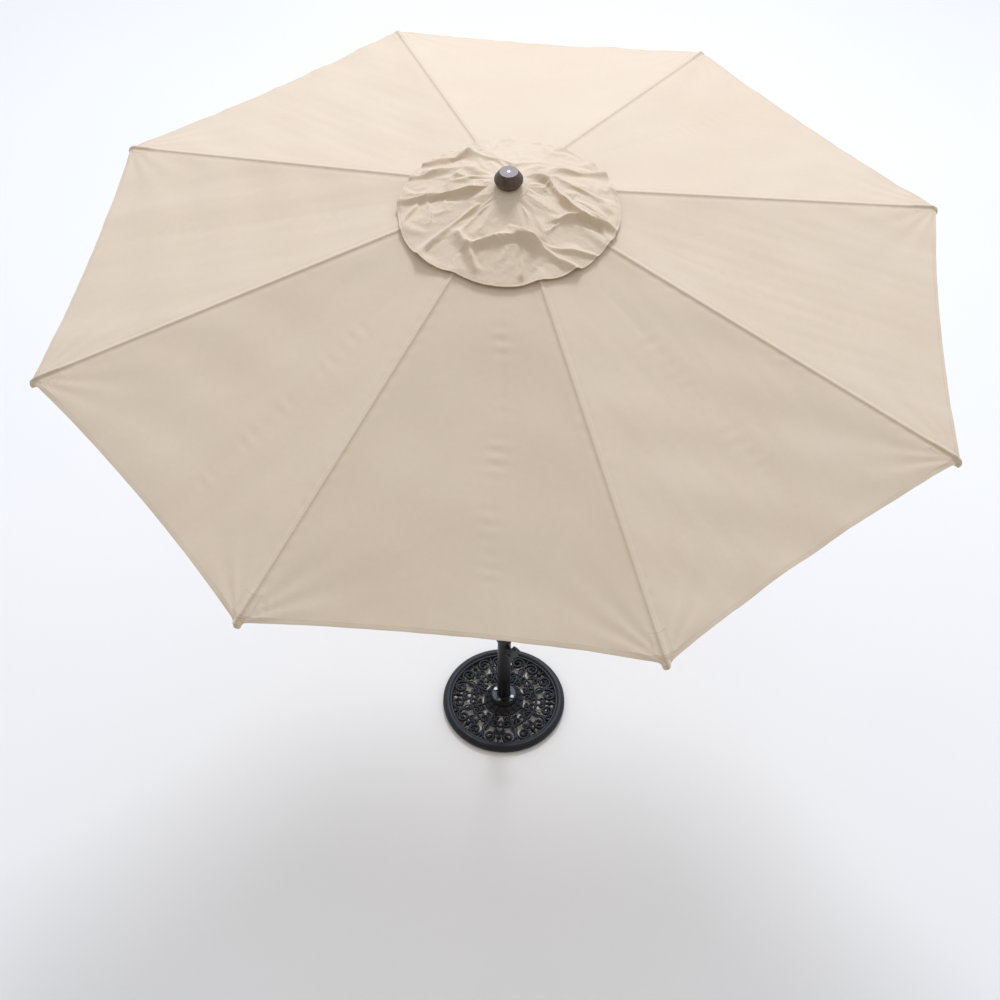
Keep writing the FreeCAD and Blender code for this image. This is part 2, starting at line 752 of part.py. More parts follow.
def rib_fittings():
    """Eye in the hub end, strut bracket with its pin, and tip cap."""
    plug_wide = "rib_wide - 2 * tube_wall - 2 * snug"
    plug_tall = "rib_tall - 2 * tube_wall - 2 * snug"
    eye = rod("Y", ("0", "-rib_wide / 2", "0"), "eye_r", "rib_wide")
    neck = box(("0", "-rib_wide / 2", "-eye_r"), ("rib_start - snug", "rib_wide", "2 * eye_r"))
    eye_plug = box(
        ("rib_start - 1", f"-({plug_wide}) / 2", f"-({plug_tall}) / 2"),
        ("26", plug_wide, plug_tall),
    )
    eye_hole = rod("Y", ("0", "-30", "0"), "pin_r + running", "60")
    hub_eye = cut("hub_eye", fuse("hub_eye_blank", [eye, neck, eye_plug]), [eye_hole])
    plates = []
    for side in ("rib_wide / 2 + snug", "-rib_wide / 2 - snug - cheek"):
        low = ("strut_at - 11", side, "-strut_below - 6")
        plates.append(box(low, ("22", "cheek", "strut_below + 11")))
    pin_half = "(rib_wide / 2 + cheek + 1)"
    pin = rod("Y", ("strut_at", f"-{pin_half}", "-strut_below"), "pin_r", f"2 * {pin_half}")
    bracket = fuse("strut_bracket", plates + [pin])
    cap = box(("rib_end + snug", "-rib_wide / 2", "-rib_tall / 2"), ("rib_tip - rib_end", "rib_wide", "rib_tall"))
    cap_plug = box(("rib_end - 20", f"-({plug_wide}) / 2", f"-({plug_tall}) / 2"), ("21", plug_wide, plug_tall))
    tip_cap = fuse("tip_cap", [cap, cap_plug])
    return rib_frame(group("fittings", [hub_eye, bracket, tip_cap]))


def strut():
    """Strut from the runner pivot up to the rib's bracket."""
    tube = tube_body("strut_tube", "strut_wide", "strut_tall", "tube_wall", "12", "strut_long - 24")
    pieces = [tube]
    for middle, inward in (("0", "0"), ("strut_long", "strut_long - 22")):
        eye = rod("Y", (middle, "-eye_wide / 2", "0"), "eye_r", "eye_wide")
        tail = box((inward, "-strut_wide / 2", "-5"), ("22", "strut_wide", "10"))
        pieces += [eye, tail]
    holes = [rod("Y", (x, "-30", "0"), "pin_r + running", "60") for x in ("0", "strut_long")]
    lying = cut("strut_lying", fuse("strut_blank", pieces), holes)
    return move(turn(lying, "strut_lean - 90", Y_AXIS), x="pivot_r", z="runner_z")


def rib_line(radius, lift):
    """Height of a surface above the rib at a radius, in the upright plane of the rib."""
    drop = math.radians(value("rib_drop"))
    fall = (radius - value("pivot_r")) * math.tan(drop)
    return value("hub_z") - fall + lift / math.cos(drop)


def slab(corners, thick):
    """Thin upright-sided plate under which the given corners are the lower face."""
    loop = Part.makePolygon(corners + [corners[0]])
    return Part.Face(loop).extrude(FreeCAD.Vector(0, 0, thick))


def polar(radius, degrees, height):
    """Point at a radius and direction."""
    angle = math.radians(degrees)
    return FreeCAD.Vector(radius * math.cos(angle), radius * math.sin(angle), height)


def half_gore(side):
    """Plate from the rib to the middle of the gore on one side of it."""
    half = 180 / value("rib_count")
    lift = value("cloth_up")
    near = value("vent_r")
    far = value("corner_r")
    mid_near = near * math.cos(math.radians(half))
    mid_far = far * math.cos(math.radians(half)) - value("eave_in")
    mid = side * (half - 0.01)
    corners = [
        polar(near, 0, rib_line(near, lift)),
        polar(far, 0, rib_line(far, lift)),
        polar(mid_far, mid, rib_line(mid_far / math.cos(math.radians(half)), lift)),
        polar(mid_near, mid, rib_line(near, lift)),
    ]
    return slab(corners, value("cloth"))


def gore():
    """Canopy cloth on both sides of one rib."""
    item = doc.addObject("Part::Feature", "gore")
    item.Shape = Part.makeCompound([half_gore(-1), half_gore(1)])
    return item


def vent_cap():
    """Shallow eight-sided cap of cloth over the canopy's top opening."""
    count = round(value("rib_count"))
    rise = value("cloth_up") + value("cloth") + value("cap_gap")
    low = rib_line(value("cap_r"), rise)
    panels = []
    for number in range(count):
        first = 360 / count * number
        second = 360 / count * (number + 1)
        corners = [
            polar(value("cap_hole_r"), first, value("cap_top")),
            polar(value("cap_r"), first, low),
            polar(value("cap_r"), second, low),
            polar(value("cap_hole_r"), second, value("cap_top")),
        ]
        panels.append(slab(corners, value("cloth")))
    item = doc.addObject("Part::Feature", "vent_cap")
    item.Shape = panels[0].fuse(panels[1:]).removeSplitter()
    return item


def repeated_nodes():
    """The four nodes of every rib."""
    templates = {
        "rib": rib_tube(),
        "rib_fittings": rib_fittings(),
        "strut": strut(),
        "canopy": gore(),
    }
    nodes = []
    for number in range(round(value("rib_count"))):
        for word, template in templates.items():
            node = group(f"{word}_{number + 1}", [template])
            nodes.append(turn(node, f"{number} * 360 / rib_count"))
    return nodes


def check_and_export(nodes):
    """Stop on any broken object, then write one file for each node."""
    doc.recompute()
    for item in doc.Objects:
        if "Invalid" in item.State or "Error" in item.State:
            raise RuntimeError(f"{item.Label}: {item.State}")
    for node in nodes:
        shape = node.Shape
        if shape.isNull() or not shape.isValid() or not shape.Solids:
            raise RuntimeError(f"{node.Label} has no valid solid")
        shape.exportStep(f"parts/{node.Label}.step")
        print(f"{node.Label:22s} solids {len(shape.Solids):3d}  volume {shape.Volume / 1000:10.1f} cm3")


def main():
    """Build every node."""
    fill_sheet()
    nodes = [
        base_casting(),
        base_feet(),
        base_stem(),
        stem_bolts(),
        stem_collar(),
        clamp_knob(),
        pole_lower(),
        pole_foot_plug(),
        pole_upper(),
        crank_housing_back(),
        crank_housing_front(),
        housing_screws(),
        crank_spool(),
        crank_arm(),
        crank_grip(),
        tilt_fork(),
        tilt_pin(),
        tilt_knuckle(),
        tilt_button(),
        tilt_spring(),
        pole_top(),
        top_hub(),
        pivot_pins("hub_pins", "hub_z"),
        finial(),
        finial_screw(),
        vent_cap(),
        runner(),
        pivot_pins("runner_pins", "runner_z"),
    ]
    check_and_export(nodes + repeated_nodes())


main()
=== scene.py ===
"""Looks of the patio umbrella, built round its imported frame. Metres, in the frame's own axes."""

import json
import math

import bpy
import numpy as np
from mathutils import Matrix, Vector


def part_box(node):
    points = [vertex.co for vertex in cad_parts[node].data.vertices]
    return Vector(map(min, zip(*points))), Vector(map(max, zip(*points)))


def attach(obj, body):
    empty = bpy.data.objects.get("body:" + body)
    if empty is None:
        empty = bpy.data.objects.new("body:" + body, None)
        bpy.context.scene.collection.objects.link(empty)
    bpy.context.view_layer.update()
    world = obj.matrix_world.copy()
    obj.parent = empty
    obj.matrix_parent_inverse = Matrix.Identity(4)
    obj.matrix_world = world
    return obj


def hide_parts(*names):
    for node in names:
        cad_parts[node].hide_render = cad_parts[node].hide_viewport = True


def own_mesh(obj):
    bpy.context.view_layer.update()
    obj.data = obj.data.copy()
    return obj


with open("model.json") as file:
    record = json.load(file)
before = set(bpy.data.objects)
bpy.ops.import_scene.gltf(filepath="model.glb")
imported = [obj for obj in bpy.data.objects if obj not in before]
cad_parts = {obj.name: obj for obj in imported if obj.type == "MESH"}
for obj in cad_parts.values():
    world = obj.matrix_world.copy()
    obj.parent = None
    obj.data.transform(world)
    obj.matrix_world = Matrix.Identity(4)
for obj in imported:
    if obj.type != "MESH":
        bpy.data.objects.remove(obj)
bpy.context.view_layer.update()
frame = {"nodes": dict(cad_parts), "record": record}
scene = bpy.context.scene
nodes = frame["nodes"]

RIBS = 8
PITCH = 2 * math.pi / RIBS
HALF = PITCH / 2

# Order of a face's corners that turns the face over.
FLIPPED = [0, 3, 2, 1]


# --- Small tools -----------------------------------------------------------------------


def smooth(low, high, x):
    """Soft step from 0 at low to 1 at high."""
    share = np.clip((x - low) / (high - low), 0.0, 1.0)
    return share * share * (3 - 2 * share)


def waves(x, y, seed, count=7):
    """Soft repeatable unevenness of about one unit, over lengths of about one unit."""
    source = np.random.RandomState(seed)
    total = np.zeros_like(x)
    for _ in range(count):
        heading = source.uniform(0, 2 * math.pi)
        rate = source.uniform(2.2, 7.0)
        phase = source.uniform(0, 2 * math.pi)
        total += np.sin(rate * (x * math.cos(heading) + y * math.sin(heading)) + phase)
    return total / count * 1.6


def mesh_object(name, points, faces, smooth_shaded=True):
    """New object in the scene from points and faces."""
    mesh = bpy.data.meshes.new(name)
    mesh.from_pydata([tuple(p) for p in points], [], [tuple(f) for f in faces])
    mesh.update()
    mesh.polygons.foreach_set("use_smooth", [smooth_shaded] * len(mesh.polygons))
    item = bpy.data.objects.new(name, mesh)
    scene.collection.objects.link(item)
    return item


def joined(name, items):
    """One object from several meshes that share a material."""
    with bpy.context.temp_override(
        active_object=items[0], selected_objects=items, selected_editable_objects=items
    ):
        bpy.ops.object.join()
    items[0].name = name
    return items[0]


def unit(vectors):
    """Vectors brought to a length of one."""
    return vectors / (np.linalg.norm(vectors, axis=-1, keepdims=True) + 1e-12)


def round_angles(steps):
    """Even angles round a circle."""
    return np.linspace(0, 2 * math.pi, steps, endpoint=False)


def grid_faces(rows, columns, closed=(False, True)):
    """Faces of a grid of points. closed says if the last row or column also joins the first."""
    index = np.arange(rows * columns).reshape(rows, columns)
    index = np.pad(index, [(0, int(joins)) for joins in closed], "wrap")
    return np.stack([index[:-1, :-1], index[1:, :-1], index[1:, 1:], index[:-1, 1:]], -1).reshape(-1, 4)


def turned_mesh(name, profile, steps=96):
    """Mesh turned about Z from (radius, height) corners; the outline closes on itself."""
    points = [(r * math.cos(a), r * math.sin(a), z) for r, z in profile for a in round_angles(steps)]
    return mesh_object(name, points, grid_faces(len(profile), steps, (True, True))[:, FLIPPED])


def swept_mesh(name, path, wide, tall, sides=12):
    """Rod of oval section along a flat path, closed at both ends. wide and tall are half sizes."""
    path = np.array(path, float)
    count = len(path)
    wide = np.broadcast_to(wide, count)
    tall = np.broadcast_to(tall, count)
    along = unit(np.gradient(path[:, :2], axis=0))
    across = np.stack([-along[:, 1], along[:, 0]], 1)
    points = []
    for spot, side, half_wide, half_tall in zip(path, across, wide, tall):
        for angle in round_angles(sides):
            shift = side * half_wide * math.cos(angle)
            points.append((spot[0] + shift[0], spot[1] + shift[1], spot[2] + half_tall * math.sin(angle)))
    ends = [range(sides - 1, -1, -1), range((count - 1) * sides, count * sides)]
    return mesh_object(name, points, [*grid_faces(count, sides)[:, FLIPPED], *ends])


# --- Materials -------------------------------------------------------------------------


class Shader:
    """A material's node tree with short ways to add and join nodes."""

    def __init__(self, name):
        self.material = bpy.data.materials.new(name)
        self.material.use_nodes = True
        self.tree = self.material.node_tree
        self.surface = self.tree.nodes["Principled BSDF"]

    def node(self, kind, **values):
        """Node of a kind; a value goes to a property of that name or else to a socket."""
        made = self.tree.nodes.new(kind)
        for key, value in values.items():
            if hasattr(made, key):
                setattr(made, key, value)
            else:
                made.inputs[key.replace("_", " ")].default_value = value
        return made

    def link(self, source, target):
        """Join an output socket to an input socket."""
        self.tree.links.new(source, target)

    def set(self, **values):
        """Plain numbers and colours of the surface."""
        for key, value in values.items():
            self.surface.inputs[key.replace("_", " ")].default_value = value

    def uv(self, name):
        """The two coordinates of a UV map."""
        made = self.node("ShaderNodeSeparateXYZ")
        self.link(self.node("ShaderNodeUVMap", uv_map=name).outputs["UV"], made.inputs["Vector"])
        return made.outputs["X"], made.outputs["Y"]

    def noise(self, scale, detail=3.0):
        """Noise in object space, so its scale is per metre."""
        made = self.node("ShaderNodeTexNoise", Scale=scale, Detail=detail, Roughness=0.55)
        self.link(self.node("ShaderNodeTexCoord").outputs["Object"], made.inputs["Vector"])
        return made.outputs["Fac"]

    def ramp(self, source, stops):
        """Colours along a value."""
        made = self.node("ShaderNodeValToRGB")
        elements = made.color_ramp.elements
        for number, (position, colour) in enumerate([stops[0], stops[-1]]):
            elements[number].position = position
            elements[number].color = (*colour, 1)
        for position, colour in stops[1:-1]:
            elements.new(position).color = (*colour, 1)
        self.link(source, made.inputs["Fac"])
        return made.outputs["Color"]

    def colour(self, source, stops):
        """Colour the surface along a value."""
        self.link(self.ramp(source, stops), self.surface.inputs["Base Color"])

    def rough(self, source, low, high):
        """Roughness of the surface, from low to high along a value."""
        made = self.node("ShaderNodeMapRange", To_Min=low, To_Max=high)
        self.link(source, made.inputs["Value"])
        self.link(made.outputs["Result"], self.surface.inputs["Roughness"])

    def maths(self, operation, first, second=None, third=None):
        """One sum. Each part is a socket or a number."""
        made = self.node("ShaderNodeMath", operation=operation)
        for place, part in zip(made.inputs, (first, second, third)):
            if isinstance(part, (int, float)):
                place.default_value = part
            elif part is not None:
                self.link(part, place)
        return made.outputs["Value"]

    def times(self, first, second):
        """Product of two parts."""
        return self.maths("MULTIPLY", first, second)

    def bumps(self, layers):
        """Bump layers as (height, distance in metres, strength), stacked."""
        normal = None
        for height, distance, strength in layers:
            made = self.node("ShaderNodeBump", Distance=distance, Strength=strength)
            self.link(height, made.inputs["Height"])
            if normal is not None:
                self.link(normal, made.inputs["Normal"])
            normal = made.outputs["Normal"]
        self.link(normal, self.surface.inputs["Normal"])


CREAM = [(0.3, (0.715, 0.568, 0.386)), (0.5, (0.735, 0.590, 0.407)), (0.72, (0.755, 0.612, 0.430))]
THREAD_COLOUR = (0.5, 0.39, 0.26, 1)
WEAVE_PITCH = 0.0011
STITCH_PITCH = 0.0042


def cloth_material():
    """Cream woven polyester with seam stitching beside the ribs and along the hems."""
    shader = Shader("canopy_cloth")
    across, along = shader.uv("weave")
    turns = 2 * math.pi / WEAVE_PITCH
    warp = shader.maths("SINE", shader.times(across, turns))
    weft = shader.maths("SINE", shader.times(along, turns))
    cross = shader.maths("MULTIPLY_ADD", shader.times(warp, weft), 0.5, 0.5)
    stitches = stitch_mask(shader, across)
    soil = shader.noise(3.2, 5.0)
    slub = shader.noise(60.0, 2.0)
    tone = shader.maths("MULTIPLY_ADD", slub, 0.35, shader.times(soil, 0.65))
    threads = shader.node("ShaderNodeMix", data_type="RGBA", blend_type="MULTIPLY")
    threads.inputs["Factor"].default_value = 0.5
    shader.link(shader.ramp(tone, CREAM), threads.inputs["A"])
    shader.link(shader.ramp(cross, [(0.0, (0.9, 0.88, 0.85)), (1.0, (1.0, 1.0, 1.0))]), threads.inputs["B"])
    stitched = shader.node("ShaderNodeMix", data_type="RGBA", blend_type="MIX")
    shader.link(shader.times(stitches, 0.55), stitched.inputs["Factor"])
    shader.link(threads.outputs["Result"], stitched.inputs["A"])
    stitched.inputs["B"].default_value = THREAD_COLOUR
    shader.link(stitched.outputs["Result"], shader.surface.inputs["Base Color"])
    shader.rough(slub, 0.78, 0.92)
    shader.set(Sheen_Weight=0.25, Sheen_Roughness=0.5, Sheen_Tint=(1.0, 0.95, 0.86, 1))
    shader.set(Specular_IOR_Level=0.25)
    raised = shader.maths("SUBTRACT", 1.0, stitches)
    shader.bumps([(shader.noise(14.0, 4.0), 0.004, 0.22), (cross, 0.0002, 0.35), (raised, 0.0007, 0.6)])
    return shader.material


def stitch_mask(shader, along_hem):
    """1 on the dashes of the stitch lines that run beside each rib and along each hem."""

    def below(distance, limit):
        return shader.maths("LESS_THAN", distance, limit)

    def line(distance, at, half):
        return below(shader.maths("ABSOLUTE", shader.maths("SUBTRACT", distance, at)), half)

    def dashes(along):
        return below(shader.maths("FRACT", shader.maths("DIVIDE", along, STITCH_PITCH)), 0.68)

    def either(first, second):
        return shader.maths("MAXIMUM", first, second)

    gap, edge = shader.uv("seam")
    beside = shader.maths("ABSOLUTE", gap)
    rib_lines = either(line(beside, 0.0042, 0.0005), line(beside, 0.0066, 0.0004))
    hem_line = shader.times(line(edge, 0.0108, 0.0005), dashes(along_hem))
    in_patch = shader.times(below(edge, 0.071), shader.maths("GREATER_THAN", edge, 0.012))
    patch_sides = shader.times(line(beside, 0.0245, 0.0007), in_patch)
    patch_ends = either(line(edge, 0.0695, 0.0007), line(edge, 0.0150, 0.0006))
    patch_ends = shader.times(patch_ends, below(beside, 0.0250))
    dashed = shader.times(either(rib_lines, patch_sides), dashes(edge))
    return either(either(dashed, hem_line), patch_ends)


def coated_metal(name, dark, light, roughness, grain, grain_deep=0.0003):
    """Powder-coated or painted metal with orange-peel grain and slight wear of tone."""
    shader = Shader(name)
    cloud = shader.noise(9.0, 6.0)
    fine = shader.noise(grain, 2.0)
    shader.colour(cloud, [(0.35, dark), (0.7, light)])
    shader.rough(fine, roughness - 0.08, roughness + 0.1)
    shader.set(Metallic=0.35)
    shader.bumps([(fine, grain_deep, 0.35), (shader.noise(40.0, 3.0), 0.0004, 0.15)])
    return shader.material


def cast_material():
    """Black painted cast iron with sand grain, rubbed a little on the high spots."""
    shader = Shader("cast_iron_black")
    cloud = shader.noise(22.0, 6.0)
    sand = shader.noise(900.0, 3.0)
    pits = shader.noise(230.0, 2.0)
    low, middle, high = (0.004, 0.004, 0.0045), (0.008, 0.008, 0.0085), (0.016, 0.015, 0.015)
    shader.colour(cloud, [(0.3, low), (0.6, middle), (0.8, high)])
    shader.rough(cloud, 0.36, 0.6)
    shader.set(Metallic=0.25)
    shader.bumps([(sand, 0.0005, 0.35), (pits, 0.0012, 0.3), (cloud, 0.0015, 0.25)])
    return shader.material


def plastic_material(name, colour, roughness, grain=1400.0):
    """Moulded plastic with a fine spark-eroded grain."""
    shader = Shader(name)
    cloud = shader.noise(30.0, 4.0)
    fine = shader.noise(grain, 2.0)
    darker = tuple(c * 0.82 for c in colour)
    lighter = tuple(min(1.0, c * 1.18) for c in colour)
    shader.colour(cloud, [(0.35, darker), (0.65, lighter)])
    shader.rough(cloud, roughness - 0.06, roughness + 0.08)
    shader.bumps([(fine, 0.0002, 0.3)])
    return shader.material


def steel_material():
    """Zinc-plated steel."""
    shader = Shader("plated_steel")
    cloud = shader.noise(120.0, 4.0)
    shader.colour(cloud, [(0.35, (0.26, 0.26, 0.27)), (0.7, (0.40, 0.40, 0.39))])
    shader.rough(cloud, 0.38, 0.58)
    shader.set(Metallic=0.95)
    shader.bumps([(shader.noise(600.0, 2.0), 0.0001, 0.3)])
    return shader.material


def finial_material():
    """Dark bronze finish of the finial, a little rubbed."""
    shader = Shader("finial_bronze")
    cloud = shader.noise(55.0, 5.0)
    low, middle, high = (0.062, 0.040, 0.026), (0.105, 0.070, 0.045), (0.155, 0.106, 0.070)
    shader.colour(cloud, [(0.3, low), (0.55, middle), (0.8, high)])
    shader.rough(cloud, 0.34, 0.52)
    shader.set(Metallic=0.2)
    shader.bumps([(shader.noise(800.0, 2.0), 0.0003, 0.35), (cloud, 0.0006, 0.2)])
    return shader.material


def floor_material():
    """Pale even floor."""
    shader = Shader("floor")
    shader.colour(shader.noise(0.6, 2.0), [(0.3, (0.92, 0.89, 0.80)), (0.7, (0.94, 0.91, 0.82))])
    shader.set(Roughness=0.9, Specular_IOR_Level=0.1)
    return shader.material


def finish_frame():
    """Give every CAD node the material of its slot in the record."""
    bronze = coated_metal("bronze_coat", (0.085, 0.058, 0.04), (0.125, 0.088, 0.06), 0.42, 1100.0)
    alloy = coated_metal("cast_alloy", (0.075, 0.055, 0.04), (0.11, 0.08, 0.058), 0.45, 700.0, 0.0005)
    looks = {
        "cast_black": cast_material(),
        "stem_black": coated_metal("stem_black", (0.008, 0.008, 0.009), (0.018, 0.018, 0.018), 0.4, 900.0),
        "black_plastic": plastic_material("black_plastic", (0.016, 0.016, 0.017), 0.5),
        "foot_rubber": plastic_material("foot_rubber", (0.02, 0.02, 0.02), 0.8, 700.0),
        "bronze_coat": bronze,
        "rib_coat": bronze,
        "crank_coat": coated_metal("crank_coat", (0.02, 0.018, 0.016), (0.035, 0.03, 0.027), 0.42, 900.0),
        "cast_alloy": alloy,
        "plated_steel": steel_material(),
        "hub_plastic": plastic_material("hub_plastic", (0.035, 0.029, 0.025), 0.5),
        "finial_bronze": finial_material(),
        "canopy_cloth": cloth_material(),
    }
    for part in frame["record"]["subparts"]:
        mesh = nodes[part["node"]].data
        mesh.materials.clear()
        mesh.materials.append(looks[part["material_slot"]])
    return looks


# --- The canopy ------------------------------------------------------------------------


def ridge_of_canopy():
    """Inner and outer (radius, height) of the CAD canopy's upper face along the first rib."""
    points = np.array([v.co for v in nodes["canopy_1"].data.vertices])
    on_rib = points[np.abs(points[:, 1]) < 0.0005]
    near = on_rib[np.abs(on_rib[:, 0] - on_rib[:, 0].min()) < 0.001]
    far = on_rib[np.abs(on_rib[:, 0] - on_rib[:, 0].max()) < 0.001]
    return (near[:, 0].mean(), near[:, 2].max()), (far[:, 0].mean(), far[:, 2].max())


(VENT_R, VENT_Z), (CORNER_R, CORNER_Z) = ridge_of_canopy()
SLOPE = (VENT_Z - CORNER_Z) / (CORNER_R - VENT_R)
EAVE_BOW = 0.019  # how far the hem curves in between two corners
CLOTH = 0.0014
HEM = 0.0125
RIB_MIDDLE = 0.0128  # how far the middle of a rib lies under the cloth's face

# Old package line of each gore: where it runs across the gore, from -1 to 1, and how deep it is.
CREASES = [0.35, -0.3, 0.15, -0.1, 0.28, 0.17, 0.1, -0.35]
CREASE_DEPTHS = [0.5, 0.3, 0.6, 0.35, 0.55, 1.0, 0.45, 0.5]


def ridge_height(radius):
    """Height of the cloth's upper face over a rib."""
    return VENT_Z - (radius - VENT_R) * SLOPE


class Gore:
    """One gore of the canopy, between rib number and the next one."""

    def __init__(self, number):
        self.number = number
        middle = number * PITCH + HALF
        self.out = np.array([math.cos(middle), math.sin(middle)])
        self.side = np.array([-math.sin(middle), math.cos(middle)])
        self.crease = CREASES[number % RIBS]
        self.crease_depth = CREASE_DEPTHS[number % RIBS]

    def points(self, radius, tau):
        """Points of the upper face. radius is that of the row's ends on the ribs, and tau runs
        from -1 on this gore's first rib to 1 on its second."""
        share = (radius - VENT_R) / (CORNER_R - VENT_R)
        gap = radius * math.sin(HALF) * (1 - np.abs(tau))
        reach = 0.0050 * (1 - smooth(0.0, 0.020, CORNER_R - radius)) * (1 - smooth(0.002, 0.022, gap))
        belly = 1 - tau**2
        bow = EAVE_BOW * np.clip(share, 0, 1) ** 2.2 * belly
        u = radius * math.cos(HALF) - bow
        lateral = radius * math.sin(HALF) * tau
        height = ridge_height(u / math.cos(HALF)) + self.relief(radius, share, tau, lateral)
        forward = u + reach * math.cos(HALF)
        sideways = lateral + reach * math.sin(HALF) * np.sign(tau)
        x, y = (forward * self.out[axis] + sideways * self.side[axis] for axis in (0, 1))
        return np.stack([x, y, height], -1), u, lateral

    def relief(self, radius, share, tau, lateral):
        """What the cloth does away from a flat gore."""
        half = radius * math.sin(HALF)
        gap = half * (1 - np.abs(tau))
        edge = CORNER_R - radius
        away = 1 - np.exp(-((gap / 0.045) ** 2))
        near_rib = np.sign(tau)
        key = self.number * 10.0
        sag = -0.008 * (1 - tau**2) * np.sin(np.pi * np.clip(share, 0, 1)) ** 0.8
        sag += -0.004 * (1 - tau**2) * smooth(0.7, 1.0, share)
        soft = 0.0030 * away * waves(lateral / 0.16 + key, radius / 0.22, 11 + self.number)
        drape = 0.0005 * away * waves(lateral / 0.05 + key, radius / 0.30, 31 + self.number)
        over_rib = 0.0016 * np.exp(-((gap / 0.0075) ** 2)) * (1 + 0.5 * smooth(0.8, 1.0, share))
        seam = 0.0007 * (1 - smooth(0.0050, 0.0062, gap))
        dip = -0.0010 * np.exp(-(((gap - 0.013) / 0.006) ** 2))
        ripple = 0.5 + 0.5 * waves(radius / 0.12 + key, near_rib * 3.0, 51 + self.number, 4)
        pucker = 0.0005 * np.sin(2 * np.pi * radius / 0.046 + 2.0 * near_rib + self.number)
        pucker *= np.exp(-(((gap - 0.016) / 0.014) ** 2)) * ripple
        total = sag + soft + drape + over_rib + seam + dip + pucker
        return total + self.corner(gap, edge) + self.hem(radius, lateral, edge, gap)

    def hem(self, radius, lateral, edge, gap):
        """The folded package line down the gore, and the slight roll of the hem."""
        half = radius * math.sin(HALF)
        roll = -0.0016 * np.exp(-edge / 0.004)
        wave = 0.0014 * waves(lateral / 0.06, edge / 0.08 + self.number, 91 + self.number)
        wave *= np.exp(-edge / 0.035) * smooth(0.02, 0.08, gap)
        return roll + wave + self.package_fold(radius, lateral, half)

    def corner(self, gap, edge):
        """Pull lines that fan out of the rib pocket, the sewn patch, and the wrap over the tip."""
        reach = np.hypot(gap, edge)
        turn = np.arctan2(gap, edge + 1e-6)
        pull = 0.0020 * np.sin(13 * turn + 0.7 * self.number) * np.exp(-reach / 0.15)
        pull *= 1 - np.exp(-((gap / 0.03) ** 2))
        patch = 0.0009 * (1 - smooth(0.0255, 0.0275, gap)) * smooth(0.0110, 0.0135, edge)
        patch *= 1 - smooth(0.070, 0.0725, edge)
        sleeve = 0.0022 * np.exp(-((gap / 0.0085) ** 4)) * (1 - smooth(0.060, 0.110, edge))
        wrap = -0.0075 * (1 - smooth(0.0, 0.014, edge)) * (1 - smooth(0.004, 0.026, gap))
        return pull + patch + sleeve + wrap

    def package_fold(self, radius, lateral, half):
        """Old fold line down the gore with short puckers across it."""
        off = lateral - self.crease * half
        off = off + 0.006 * np.sin(radius * 9.0 + self.number)
        window = smooth(0.30, 0.50, radius) * (1 - smooth(1.16, 1.27, radius))
        line = -0.0016 * np.exp(-np.abs(off) / 0.009) * window
        level = off * 0
        uneven = 0.45 + 0.75 * waves(radius / 0.11, level + self.number, 71 + self.number, 4)
        uneven = np.clip(uneven, 0, 1.2)
        turn = 2 * np.pi * radius / 0.040 + 1.3 * waves(radius / 0.2, level, 5) + self.number
        across = 0.0013 * np.sin(turn)
        across *= np.exp(-((off / 0.026) ** 2)) * window * uneven
        return (line + across) * self.crease_depth


GORES = [Gore(number) for number in range(RIBS)]
GORE_COLUMNS = 30


def row_radii():
    """Rows of the cloth from the vent to the eave, close together at both hems."""
    near = [0.0, 0.003, 0.0100, HEM, 0.016]
    far = [0.016, HEM, 0.0100, 0.004, 0.0012, 0.0]
    inside = np.arange(VENT_R + 0.022, CORNER_R - 0.021, 0.0085)
    return np.concatenate([VENT_R + np.array(near), inside, CORNER_R - np.array(far)])


def column_gaps(half):
    """Distances from the rib to mid gore: fixed beside the seam and even beyond it."""
    fixed = np.array([0.0, 0.0025, 0.0048, 0.0062, 0.0090, 0.0115, 0.0150, 0.0200])
    return np.concatenate([fixed, np.linspace(0.0200, half, GORE_COLUMNS + 1)[1:]])


def grid_normals(points):
    """Unit normals of a grid of points, upward."""
    down = np.gradient(points, axis=0)
    across = np.gradient(points, axis=1)
    normal = unit(np.cross(down, across))
    return np.where(normal[:, :, 2:3] < 0, -normal, normal)


